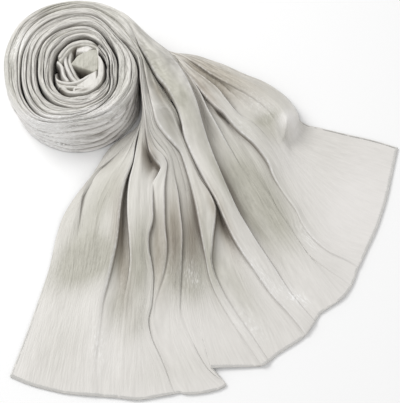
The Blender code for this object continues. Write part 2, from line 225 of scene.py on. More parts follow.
def below_neighbours(points: np.ndarray, shifts: Iterable[tuple[int, int]], loss: float) -> np.ndarray:
    """Return how far each point of a grid lies below the highest point near it.

    Args:
        points: Plan and, last, height in millimetres, shape (rows, columns, dimensions).
        shifts: Steps to the neighbours, by rows and columns.
        loss: How much less a neighbour counts for each millimetre that it is away in plan.

    Returns:
        Depths in millimetres, shape (rows, columns).
    """
    highest = points[..., -1].copy()
    for shift in shifts:
        other = np.roll(points, shift, axis=(0, 1))
        apart = np.linalg.norm(other[..., :-1] - points[..., :-1], axis=-1)
        highest = np.maximum(highest, other[..., -1] - loss * apart)
    return highest - points[..., -1]


def arc_shares(points: np.ndarray) -> np.ndarray:
    """Return how far along its row each point lies, as a share of the row's length.

    Args:
        points: Rows of points, shape (rows, columns, dimensions).

    Returns:
        Shares from 0 to 1, shape (rows, columns).
    """
    steps = np.linalg.norm(np.diff(points, axis=1), axis=2)
    lengths = np.concatenate([np.zeros((len(points), 1)), np.cumsum(steps, axis=1)], axis=1)
    return lengths / lengths[:, -1:]


def grid_piece(name: str, points: np.ndarray, uv: np.ndarray, marks: dict[str, np.ndarray],
               looped: bool = False) -> bpy.types.Object:
    """Put a grid of points into a new mesh object, shaded smooth.

    Args:
        name: Name of the piece.
        points: Points in metres, shape (rows, columns, 3). Columns to rows turn outwards.
        uv: Cloth coordinates in metres, shape (rows, columns, 2).
        marks: Named numbers from 0 to 1 at the points, each of shape (rows, columns).
        looped: True where the last column joins the first.

    Returns:
        The object, linked to the scene.
    """
    rows, columns = points.shape[:2]
    index = np.arange(rows * columns).reshape(rows, columns)
    after = np.roll(index, -1, axis=1) if looped else index[:, 1:]
    before = index if looped else index[:, :-1]
    quads = np.stack([before[:-1], after[:-1], after[1:], before[1:]], axis=-1).reshape(-1, 4)
    mesh = bpy.data.meshes.new(name)
    mesh.vertices.add(rows * columns)
    mesh.vertices.foreach_set("co", points.astype(np.float32).ravel())
    mesh.loops.add(quads.size)
    mesh.loops.foreach_set("vertex_index", quads.ravel().astype(np.int32))
    mesh.polygons.add(len(quads))
    mesh.polygons.foreach_set("loop_start", np.arange(0, quads.size, 4, dtype=np.int32))
    mesh.update(calc_edges=True)
    layer = mesh.uv_layers.new(name="cloth")
    layer.data.foreach_set("uv", uv.reshape(-1, 2)[quads.ravel()].astype(np.float32).ravel())
    for mark, values in marks.items():
        attribute = mesh.attributes.new(mark, "FLOAT", "POINT")
        attribute.data.foreach_set("value", values.astype(np.float32).ravel())
    mesh.shade_smooth()
    made = bpy.data.objects.new(name, mesh)
    bpy.context.scene.collection.objects.link(made)
    return made


def thicken(piece: bpy.types.Object, wall: float) -> None:
    """Give a sheet its thickness, inwards from the side that shows.

    Args:
        piece: The sheet.
        wall: Its thickness in millimetres.
    """
    shell = piece.modifiers.new("wall", "SOLIDIFY")
    shell.thickness = wall * METRES
    shell.offset = -1.0
    shell.use_even_offset = False


class Term:
    """A shader socket that can stand in sums."""

    def __init__(self, graph: Graph, socket: bpy.types.NodeSocket) -> None:
        """Keep the graph and the socket."""
        self.graph = graph
        self.socket = socket

    def _sum(self, operation: str, first: Any, second: Any) -> Term:
        """Add a Math node and return its result."""
        return self.graph.node("ShaderNodeMath", {"operation": operation}, {0: first, 1: second}, 0)

    def __add__(self, other: Any) -> Term:
        """Return this plus the other."""
        return self._sum("ADD", self, other)

    __radd__ = __add__

    def __sub__(self, other: Any) -> Term:
        """Return this less the other."""
        return self._sum("SUBTRACT", self, other)

    def __rsub__(self, other: Any) -> Term:
        """Return the other less this."""
        return self._sum("SUBTRACT", other, self)

    def __mul__(self, other: Any) -> Term:
        """Return this times the other."""
        return self._sum("MULTIPLY", self, other)

    __rmul__ = __mul__

    def __pow__(self, other: Any) -> Term:
        """Return this to the power of the other."""
        return self._sum("POWER", self, other)


class Graph:
    """The nodes of one material, made by expressions."""

    def __init__(self, name: str) -> None:
        """Start a material with an empty tree.

        Args:
            name: The material's name.
        """
        self.material = bpy.data.materials.new(name)
        self.material.use_nodes = True
        self.tree = self.material.node_tree
        self.tree.nodes.clear()

    def node(self, kind: str, settings: dict[str, Any], inputs: dict[Any, Any], output: Any) -> Term:
        """Add one node.

        Args:
            kind: The node's type.
            settings: Properties that are set first.
            inputs: Values or terms for the sockets, by name or number.
            output: Name or number of the output wanted.

        Returns:
            The output as a term.
        """
        made = self.tree.nodes.new(kind)
        for key, value in settings.items():
            setattr(made, key, value)
        for key, value in inputs.items():
            if isinstance(value, Term):
                self.tree.links.new(value.socket, made.inputs[key])
            else:
                made.inputs[key].default_value = value
        return Term(self, made.outputs[output])

    def mark(self, name: str) -> Term:
        """Return a number that the piece carries at its points."""
        return self.node("ShaderNodeAttribute", {"attribute_name": name}, {}, "Fac")

    def noise(self, where: Term, stretch: tuple[float, float], detail: float) -> Term:
        """Return noise from 0 to 1 on the cloth.

        Args:
            where: The cloth's coordinates.
            stretch: Fineness across and along the cloth, in waves a metre.
            detail: How many finer layers are added.

        Returns:
            The noise as a term.
        """
        spread = self.node("ShaderNodeMapping", {}, {"Vector": where, "Scale": (stretch[0], stretch[1], 1.0)}, 0)
        return self.node("ShaderNodeTexNoise", {"noise_dimensions": "2D"},
                         {"Vector": spread, "Scale": 1.0, "Detail": detail, "Roughness": 0.55}, 0)

    def blend(self, factor: Any, first: Any, second: Any) -> Term:
        """Return the colour that lies between two, by a factor."""
        return self.node("ShaderNodeMix", {"data_type": "RGBA"}, {0: factor, 6: first, 7: second}, 2)

    def between(self, first: Term, second: Term, share: Term) -> Term:
        """Return the number that lies between two, by a share."""
        return first + (second - first) * share

    def limit(self, value: Term) -> Term:
        """Return a number held between 0 and 1."""
        return self.node("ShaderNodeClamp", {}, {"Value": value}, 0)

    def finish(self, shader: Term) -> None:
        """Send a shader to the material's output."""
        output = self.tree.nodes.new("ShaderNodeOutputMaterial")
        self.tree.links.new(shader.socket, output.inputs["Surface"])


def opaque(colour: Colour) -> tuple[float, float, float, float]:
    """Return a colour with full alpha."""
    return (*colour, 1.0)


@dataclass(frozen=True)
class Streaks:
    """One size of lengthwise streaks: waves a metre across and along, on loose and on gathered cloth."""

    loose: tuple[float, float]
    gathered: tuple[float, float]
    detail: float

    def at(self, graph: Graph, cloth: Term, gather: Term) -> Term:
        """Return the streaks, from 0 to 1, by how tightly the cloth is gathered."""
        return graph.between(graph.noise(cloth, self.loose, self.detail),
                             graph.noise(cloth, self.gathered, self.detail), gather)


@dataclass(frozen=True)
class SatinFinish:
    """Pale silver satin with a fine lengthwise crinkle, deeper where its layers lie on each other and where painted
    shade lies.

    The piece's marks say where layers lie on each other, with painted shade added and painted light taken off (layers),
    where painted shade darkens a hollow, crease or notch (hollow), where painted glints shimmer, where a warm tint of
    painted shade lies (warm_shade), and where its width is gathered. A streak's two sides have a value and a saturation
    each.
    """

    name: str = "silver_satin"
    single: Colour = (0.80, 0.775, 0.748)
    # layered_and_shaded is the olive of stacked layers, also reached by painted shade; hollow is the dark brown of
    # painted shade; warm_shade tints painted shade warmer; glint is a painted highlight.
    layered_and_shaded: Colour = (0.475, 0.462, 0.395)
    hollow: Colour = (0.145, 0.118, 0.090)
    warm_shade: Colour = (0.96, 0.90, 0.85)
    glint: Colour = (1.0, 1.0, 0.99)
    roughness: float = 0.42
    sheen: float = 0.2
    bump: float = 0.75
    crinkle_depth: float = 0.0013
    fine: Streaks = Streaks((380.0, 42.0), (125.0, 38.0), 2.0)
    broad: Streaks = Streaks((120.0, 12.0), (46.0, 14.0), 2.0)
    grain: Streaks = Streaks((620.0, 170.0), (230.0, 190.0), 1.0)
    patch: tuple[float, float] = (14.0, 10.0)
    low_streak: tuple[float, float] = (0.72, 1.10)
    high_streak: tuple[float, float] = (1.20, 0.90)

    @cache
    def material(self) -> bpy.types.Material:
        """Make the material: streaks in colour, roughness and bump all run along the cloth.

        Returns:
            The material, the same one at every call.
        """
        graph = Graph(self.name)
        cloth = graph.node("ShaderNodeUVMap", {"uv_map": "cloth"}, {}, 0)
        gather = graph.mark("gather")
        fine = self.fine.at(graph, cloth, gather)
        broad = self.broad.at(graph, cloth, gather)
        grain = self.grain.at(graph, cloth, gather)
        patch = graph.noise(cloth, self.patch, 1.0)
        streak = fine * 0.7 + broad * 0.3
        # Body colour: olive where layers stack and where painted shade lies, paler where painted light lies.
        body = graph.blend(graph.mark("layers"), opaque(self.single), opaque(self.layered_and_shaded))
        # A warm tint of painted shade.
        shade_warmed = graph.node("ShaderNodeMix", {"data_type": "RGBA", "blend_type": "MULTIPLY"},
                            {0: graph.mark("warm_shade"), 6: body, 7: opaque(self.warm_shade)}, 2)
        # Painted shade: darker and browner in hollows, creases and notches.
        deep_shade = graph.blend(graph.mark("hollow") * 0.9, shade_warmed, opaque(self.hollow))
        darker, lighter = (
            graph.node("ShaderNodeHueSaturation", {}, {"Value": value, "Saturation": saturation, "Color": deep_shade}, 0)
            for value, saturation in (self.low_streak, self.high_streak))
        contrast = graph.mark("layers") * 1.3 + gather ** 4.0 * 2.6 + 0.3
        ribbed = graph.blend((streak * 0.85 + patch * 0.15 - 0.5) * contrast + 0.5, darker, lighter)
        glints = graph.limit((grain - 0.53) * 9.0) * graph.mark("shimmer")
        sparkling = graph.blend(graph.limit(glints * 0.8 + graph.mark("shimmer") * 0.25), ribbed, opaque(self.glint))
        height = (broad * 0.25 + fine * 0.5 + grain * 0.25) * (contrast * 0.6 + 0.3)
        bumped = graph.node("ShaderNodeBump", {}, {"Strength": self.bump, "Distance": self.crinkle_depth,
                                                   "Height": height}, 0)
        shader = graph.node("ShaderNodeBsdfPrincipled", {}, {
            "Base Color": sparkling, "Roughness": streak * 0.24 - glints * 0.12 + (self.roughness - 0.12),
            "Normal": bumped, "Sheen Weight": self.sheen, "Sheen Roughness": 0.45, "Specular IOR Level": 0.55}, 0)
        graph.finish(shader)
        return graph.material


@dataclass(frozen=True)
class Ring:
    """A radius or a height of the roll at every eighth of a turn, in millimetres."""

    name: str
    east: float
    north_east: float
    north: float
    north_west: float
    west: float
    south_west: float
    south: float
    south_east: float

    def values(self) -> list[float]:
        """Return the eight numbers in order of bearing."""
        return [self.east, self.north_east, self.north, self.north_west,
                self.west, self.south_west, self.south, self.south_east]


@dataclass(frozen=True)
class Stage:
    """The folds along the band's top at one bearing.

    gap and gap_depth belong to the parting from the turn outside. The two creases part three
    folds; each has its place as a share of the band's width and its depth below the folds.
    """

    bearing: float
    gap: float
    gap_depth: float
    first_place: float
    first_depth: float
    second_place: float
    second_depth: float
    inner_top: float
    middle_top: float
    outer_top: float


EIGHTH = TURN / 8
BAND_SIDES = (  # the radius of each parting between the turns, from the outside inwards
    Ring("outer fold", 72.0, 91.0, 98.0, 104.0, 95.0, 89.0, 66.0, 66.0),
    Ring("second side", 65.5, 61.0, 77.0, 79.0, 72.5, 76.0, 58.0, 48.0),
    Ring("third side", 42.0, 46.5, 61.0, 62.0, 54.5, 54.0, 49.0, 42.5),
    Ring("inner side", 32.0, 37.0, 47.0, 41.0, 35.5, 38.0, 33.0, 30.0),
    Ring("core side", 28.0, 31.0, 34.0, 32.0, 30.0, 31.0, 29.0, 28.0),
)
WALL_FOOT = Ring("foot", 70.0, 86.0, 92.0, 96.0, 90.0, 86.0, 80.0, 74.0)
OUTER_FOLD_HEIGHT = Ring("height", 50.0, 48.0, 50.0, 46.0, 42.0, 42.0, 50.0, 46.0)
STAGES = (
    Stage(0, 0.0, 8, 0.40, 4.0, 0.72, 2.0, 58.0, 59.0, 57.0),
    Stage(62, 0.0, 8, 0.42, 7.0, 0.74, 1.5, 58.5, 60.0, 56.0),
    Stage(90, 0.0, 8, 0.45, 12.0, 0.78, 1.2, 58.5, 59.5, 56.0),
    Stage(135, 0.0, 8, 0.36, 13.0, 0.66, 1.0, 59.5, 58.5, 57.0),
    Stage(180, 0.0, 8, 0.16, 3.5, 0.50, 0.8, 59.0, 60.0, 58.5),
    Stage(225, 0.0, 8, 0.22, 3.0, 0.56, 2.0, 58.0, 59.5, 57.0),
    Stage(270, 0.0, 8, 0.30, 5.0, 0.62, 4.0, 57.0, 58.0, 55.0),
    Stage(315, 0.0, 8, 0.34, 5.0, 0.66, 4.0, 58.0, 58.5, 55.0),
    Stage(360, 0.6, 8, 0.40, 0.6, 0.76, 6.0, 59.5, 59.5, 59.0),
    Stage(405, 0.8, 9, 0.46, 1.0, 0.80, 5.5, 60.0, 59.0, 59.0),
    Stage(450, 1.2, 13, 0.60, 2.2, 0.80, 6.0, 60.0, 58.0, 59.5),
    Stage(495, 1.0, 11, 0.44, 4.0, 0.72, 6.0, 59.0, 59.0, 59.5),
    Stage(540, 1.0, 13, 0.30, 6.0, 0.66, 7.0, 58.5, 60.0, 60.0),
    Stage(578, 2.2, 26, 0.36, 7.0, 0.68, 8.0, 58.5, 59.0, 58.5),
    Stage(600, 1.0, 8, 0.38, 5.0, 0.70, 6.0, 58.5, 59.0, 58.0),
    Stage(630, 0.4, 4, 0.40, 3.0, 0.72, 3.0, 59.0, 59.0, 57.5),
    Stage(675, 0.5, 5, 0.60, 3.0, 0.84, 4.0, 59.5, 58.0, 58.0),
    Stage(720, 0.8, 9, 0.40, 5.0, 0.66, 6.0, 58.5, 60.0, 58.0),
    Stage(770, 3.6, 30, 0.40, 5.0, 0.66, 6.0, 58.5, 60.0, 58.0),
    Stage(810, 1.6, 16, 0.34, 5.0, 0.62, 7.0, 57.5, 59.0, 59.5),
    Stage(855, 1.0, 10, 0.30, 5.0, 0.60, 7.0, 58.0, 59.0, 60.0),
    Stage(900, 1.3, 16, 0.28, 5.0, 0.52, 8.0, 58.5, 59.0, 60.0),
    Stage(938, 1.9, 22, 0.30, 4.0, 0.58, 7.0, 58.0, 60.0, 59.5),
    Stage(962, 0.9, 9, 0.28, 5.0, 0.60, 6.0, 57.5, 60.0, 59.0),
    Stage(990, 0.5, 5, 0.28, 4.0, 0.62, 4.0, 57.0, 60.0, 59.0),
    Stage(1035, 0.6, 6, 0.34, 4.0, 0.64, 5.0, 57.5, 60.0, 58.5),
    Stage(1080, 0.9, 12, 0.50, 5.0, 0.75, 3.0, 57.0, 58.5, 57.0),
    Stage(1170, 1.0, 14, 0.50, 6.0, 0.75, 3.0, 56.0, 58.0, 57.0),
    Stage(1260, 0.9, 12, 0.50, 5.0, 0.75, 3.0, 55.0, 58.0, 57.0),
    Stage(1350, 0.8, 9, 0.50, 5.0, 0.75, 3.0, 55.0, 58.0, 57.0),
    Stage(1440, 1.0, 10, 0.50, 5.0, 0.75, 3.0, 55.0, 57.0, 56.0),
    Stage(1800, 1.0, 10, 0.50, 5.0, 0.75, 3.0, 55.0, 57.0, 56.0),
)


@dataclass(frozen=True)
class Band:
    """The pleated band as it lies in the roll: where its sides are and what its section looks like."""

    middle: tuple[float, float] = (-139.0, 144.0)
    leaving: float = 62.0
    upright_from: float = 335.0
    upright_over: float = 20.0
    parting: float = 0.35
    pleats: float = 4.5
    pleat_depth: float = 2.6
    pleat_bow: float = 2.0
    fold_shift: float = 0.03
    top_shift: float = 0.9
    wander: float = 0.9
    ridges: float = 0.7
    creases: int = 8
    crease_depth: float = 1.7
    crease_columns: float = 1.7
    crease_wander: float = 6.0
    along_radius: float = 0.088
    points_a_foot: int = 4
    points_a_fold: int = 20
    points_a_brow: int = 12
    points_a_wall: int = 62

    @property
    def folds_end(self) -> int:
        """Return the section's column where its three folds end."""
        return self.points_a_foot + 3 * self.points_a_fold

    def side(self, bearing: np.ndarray) -> np.ndarray:
        """Return the radius of the band's outer side, read from the rings one after another."""
        values = np.concatenate([ring.values() for ring in BAND_SIDES])
        return smooth_through(np.arange(len(values)) * EIGHTH, values, bearing)

    def ring(self, ring: Ring, bearing: np.ndarray) -> np.ndarray:
        """Return a ring's number at any bearing, read round and round.

        Args:
            ring: The ring.
            bearing: Bearings, of any shape.

        Returns:
            The numbers, in the bearings' shape.
        """
        values = np.array(ring.values())
        looped = np.concatenate([values[-2:], values, values[:3]])
        return smooth_through((np.arange(len(looped)) - 2) * EIGHTH, looped, np.mod(bearing, TURN))

    def foot(self, bearing: np.ndarray) -> tuple[np.ndarray, np.ndarray]:
        """Return where the outermost wall stands on the floor.

        Args:
            bearing: Bearings, of any shape.

        Returns:
            The radius of the wall's foot, and how upright the wall is, from 0 to 1.
        """
        upright = np.clip((np.asarray(bearing, float) - self.upright_from) / self.upright_over, 0.0, 1.0)
        side = self.side(bearing)
        return side + (self.ring(WALL_FOOT, bearing) - side) * (1.0 - upright), upright

    def stage(self, bearing: np.ndarray) -> dict[str, np.ndarray]:
        """Return the numbers of the stages.

        Args:
            bearing: Bearings counted on inwards, shape (bearings,).

        Returns:
            Every number by its name, each of shape (bearings, 1).
        """
        names = [name for name in Stage.__dataclass_fields__ if name != "bearing"]
        values = np.array([[getattr(stage, name) for name in names] for stage in STAGES])
        read = smooth_through([stage.bearing for stage in STAGES], values, bearing)
        return {name: read[:, column:column + 1] for column, name in enumerate(names)}

    def at(self, bearing: np.ndarray, radius: np.ndarray, height: np.ndarray) -> np.ndarray:
        """Return points about the roll's middle.

        Args:
            bearing: Bearings in degrees.
            radius: Radii in millimetres.
            height: Heights in millimetres.

        Returns:
            Points, in the three's broadcast shape with 3 added.
        """
        angle = np.radians(bearing)
        return np.stack(np.broadcast_arrays(self.middle[0] + radius * np.cos(angle),
                                            self.middle[1] + radius * np.sin(angle), height), axis=-1)

    def fold(self, inner: np.ndarray, outer: np.ndarray, top: np.ndarray,
             low: tuple[np.ndarray, np.ndarray], reach: float) -> tuple[np.ndarray, np.ndarray]:
        """Return one rounded fold of the band's top.

        Across the fold x runs from -1 to reach as the sine of an even angle, and the height is
        the low point plus the rise times (1 - x to the 4th) to the power of 1/3: flat on top.

        Args:
            inner: Radius where the fold starts, shape (bearings, 1).
            outer: Radius where it ends.
            top: Height of its top.
            low: Heights of the creases on its inner and outer side.
            reach: 1 for a whole fold, 0 for the half up to its top.

        Returns:
            Radii and heights, each of shape (bearings, points).
        """
        x = np.sin(np.linspace(-math.pi / 2, math.pi / 2 * reach, self.points_a_fold))[None, :]
        base = np.where(x < 0, low[0], low[1])
        round_top = np.maximum(1.0 - x ** 4, 0.0) ** (1 / 3)
        return (inner + outer) / 2 + (outer - inner) / 2 * x, base + (top - base) * round_top

    def section(self, bearing: np.ndarray, outermost: bool) -> np.ndarray:
        """Return the band's section at each bearing, from its inner foot over the folds to its outer foot.

        Three folds stand between the inner and the outer side, and creases part them. Seeded
        unevenness shifts the creases and tops, and adds ridges and fine creases along the band.

        Args:
            bearing: Bearings counted on inwards, shape (bearings,).
            outermost: True for the turn whose outer wall shows and flares.

        Returns:
            Radius, height and nearness to a crease of each point, shape (bearings, points, 3).
        """
        here = self.stage(bearing)
        inside = self.stage(bearing + TURN)
        inner = self.side(bearing + TURN)[:, None] + self.parting + inside["gap"] / 2
        outer = self.side(bearing)[:, None] - self.parting - here["gap"] / 2
        width = outer - inner
        wave = Unevenness(Seed.FOLD_PLACES, 1.0, 17.0)
        shift = [wave.at(np.full(len(bearing), float(k)), bearing)[:, None] for k in range(5)]
        first = inner + (here["first_place"] + self.fold_shift * shift[0]) * width
        second = inner + (here["second_place"] + self.fold_shift * shift[1]) * width
        tops = [here[name] + self.top_shift * waved
                for name, waved in zip(("inner_top", "middle_top", "outer_top"), shift[2:])]
        low_inner = tops[0] - inside["gap_depth"]
        low_first = np.minimum(tops[0], tops[1]) - here["first_depth"]
        low_second = np.minimum(tops[1], tops[2]) - here["second_depth"]
        low_outer = tops[2] - here["gap_depth"]
        rise = np.linspace(0.0, 1.0, self.points_a_foot + 1)[None, :-1]
        upright = (len(bearing), self.points_a_foot)
        pieces = [(np.broadcast_to(inner, upright), 0.5 + (low_inner - 0.5) * rise)]
        pieces.append(self.fold(inner, first, tops[0], (low_inner, low_first), 1.0))
        pieces.append(self.fold(first, second, tops[1], (low_first, low_second), 1.0))
        if outermost:
            pieces += self.outer_wall(bearing, second, outer, tops[2], low_second)
        else:
            pieces.append(self.fold(second, outer, tops[2], (low_second, low_outer), 1.0))
            pieces.append((np.broadcast_to(outer, upright), low_outer * (1 - rise) + 0.5 * rise))
        radius = np.concatenate([piece[0] for piece in pieces], axis=1)
        height = np.concatenate([piece[1] for piece in pieces], axis=1)
        column = np.arange(radius.shape[1])[None, :]
        inland = np.minimum(column, column[:, ::-1]) >= self.points_a_foot
        radius = radius + inland * self.wander * Unevenness(Seed.BAND_WANDER, 5.0, 24.0).at(column, bearing[:, None])
        drift = 4.0 * Unevenness(Seed.RIDGE_DRIFT, 30.0, 55.0).at(column, bearing[:, None])
        apart = ease((bearing - self.leaving) / 22.0)[:, None]
        ridge = Unevenness(Seed.BAND_RIDGES, 2.6, 60.0).at(column + drift, bearing[:, None])
        height = height + inland * apart * self.ridges * ridge
        crease = apart * self.fine_creases(column, bearing[:, None])
        height = height - self.crease_depth * crease
        # On the wall, nearness to a crease only feeds the painted shade in its creases.
        if outermost:
            crease[:, 1 - self.points_a_wall:] = apart * self.wall_pleats(bearing[:, None])[1]
        return np.stack([radius, np.maximum(height, ROLL_LOWEST), crease], axis=-1)

    def fine_creases(self, column: np.ndarray, turn: np.ndarray) -> np.ndarray:
        """Return how strongly the fine creases along the folds show.

        Each runs along the band about its own column, wanders across it, and comes and goes.

        Args:
            column: The section's columns, shape (1, columns).
            turn: Bearings counted on inwards, shape (bearings, 1).

        Returns:
            Strengths from 0 to 1, shape (bearings, columns).
        """
        folds = 3 * self.points_a_fold
        total = np.zeros((len(turn), column.shape[1]))
        for number in range(self.creases):
            even = self.points_a_foot + folds * (number + 0.5) / self.creases
            path = Unevenness(Seed.CREASE_PATHS + number, 1.0, 48.0).at(0.0, turn)
            near = np.clip(1.0 - np.abs(column - even - self.crease_wander * path) / self.crease_columns, 0.0, 1.0)
            strength = Unevenness(Seed.CREASE_STRENGTHS + number, 1.0, 31.0).at(0.0, turn)
            total = np.maximum(total, np.clip(0.25 + 1.1 * strength, 0.0, 1.0) * near)
        return total * (column < self.folds_end - 2)

    def along(self, bearing: np.ndarray) -> np.ndarray:
        """Return how far along the cloth a bearing lies, in metres."""
        return np.radians(bearing) * self.along_radius

    def sunk_shade(self, section: np.ndarray) -> np.ndarray:
        """Return how far each point lies in shade.

        On the folds it grows with the depth below the highest point near it in its section. A
        crease adds its own share.

        Args:
            section: Radius, height and nearness to a crease, shape (bearings, points, 3).

        Returns:
            Shade from 0 to 1, shape (bearings, points).
        """
        depth = below_neighbours(section[..., :2], ACROSS, 1.7)
        folds = np.arange(section.shape[1])[None, :] < self.folds_end
        deep_shade = np.where(folds, ease((depth - 1.6) / 8.0), 0.0)
        return np.clip(0.95 * deep_shade + np.where(folds, 0.65, 1.0) * section[..., 2], 0.0, 1.0)

    def outer_wall(self, bearing: np.ndarray, second: np.ndarray, outer: np.ndarray, top: np.ndarray,
                   low: np.ndarray) -> list[tuple[np.ndarray, np.ndarray]]:
        """Return the broad outer fold and the pleated wall below it.

        The fold rises to its top, then falls on a quarter of an ellipse to the wall's edge. The
        wall runs straight to the foot, with pleats added outwards.

        Args:
            bearing: Bearings counted on inwards, shape (bearings,).
            second: Radius of the crease where the fold starts, shape (bearings, 1).
            outer: Radius of the wall's edge.
            top: Height of the fold's top.
            low: Height of the crease.

        Returns:
            Radii and heights of the rise, the brow and the wall, each of shape (bearings, points).
        """
        edge_height = self.ring(OUTER_FOLD_HEIGHT, bearing)[:, None]
        foot, upright = (part[:, None] for part in self.foot(bearing))
        crest = second + (outer - second) * 0.40
        rising = self.fold(second, 2 * crest - second, top, (low, low), 0.0)
        quarter = np.linspace(0.0, math.pi / 2, self.points_a_brow)[None, 1:]
        falling = (crest + (outer - crest) * np.sin(quarter), edge_height + (top - edge_height) * np.cos(quarter))
        down = np.linspace(0.0, 1.0, self.points_a_wall)[None, 1:]
        swell = self.wall_pleats(bearing[:, None])[0] * (1.0 - 0.75 * upright)
        wall = (outer + down * (foot - outer) + swell, edge_height * (1 - down) + ROLL_LOWEST * down)
        return [rising, falling, wall]

    def wall_pleats(self, turn: np.ndarray) -> tuple[np.ndarray, np.ndarray]:
        """Return the pleats of the outermost wall.

        Each swells as the 0.6th power of the way down it, then drops back. They hang in bows,
        lowest at the front, and are strong there and faint at the back.

        Args:
            turn: Bearings counted on inwards, shape (bearings, 1).

        Returns:
            How far each point stands out, and how near it is to a crease, shape (bearings, points).
        """
        down = np.linspace(0.0, 1.0, self.points_a_wall)[None, 1:]
        slant = down * self.pleats + self.pleat_bow * ((turn - 275.0) / 62.0) ** 2
        slant = slant + 0.55 * Unevenness(Seed.WALL_SLANT, 0.35, 26.0).at(down, turn)
        part = slant - np.floor(slant)
        pleat = part ** 0.6 * (1 - part ** 7) - 0.53
        shown = np.clip(0.95 + 0.7 * Unevenness(Seed.PLEAT_STRENGTH, 1.0, 30.0).at(np.floor(slant), turn), 0.35, 1.2)
        strength = ease((turn - 165.0) / 50.0) * (1 - 0.45 * ease((turn - 310.0) / 30.0)) * 0.9 + 0.1
        strength = strength * shown * ease(down / 0.10) * (1 - 0.6 * ease((down - 0.8) / 0.2))
        crease = np.minimum(1.25 * strength, 1.0) * np.clip((0.05 - pleat) * 2.1, 0.0, 0.9)
        crease = (np.roll(crease, 1, axis=1) + 2 * crease + np.roll(crease, -1, axis=1)) / 4
        return self.pleat_depth * pleat * strength, crease


@dataclass(frozen=True)
class Tone:
    """A soft patch of more layers lying on each other, painted shade or painted light, painted glints, and a warm tint
    of painted shade.

    It is an ellipse about a point of the plan: half sizes along and across, and the bearing of
    its long side.
    """

    name: str
    where: tuple[float, float]
    along: float
    across: float
    bearing: float
    layers: float
    hollow: float
    shimmer: float
    warm_shade: float = 0.0

    def at(self, points: np.ndarray) -> np.ndarray:
        """Return how strongly the patch shows at the points: e to the power of less its distance squared.

        Args:
            points: Points in millimetres, shape (..., 3).

        Returns:
            Strengths from 0 to 1, shape (...,). The distance is counted in half sizes.
        """
        angle = math.radians(self.bearing)
        apart = points[..., :2] - np.array(self.where)
        along = (apart[..., 0] * math.cos(angle) + apart[..., 1] * math.sin(angle)) / self.along
        across = (apart[..., 1] * math.cos(angle) - apart[..., 0] * math.sin(angle)) / self.across
        return np.exp(-along ** 2 - across ** 2)
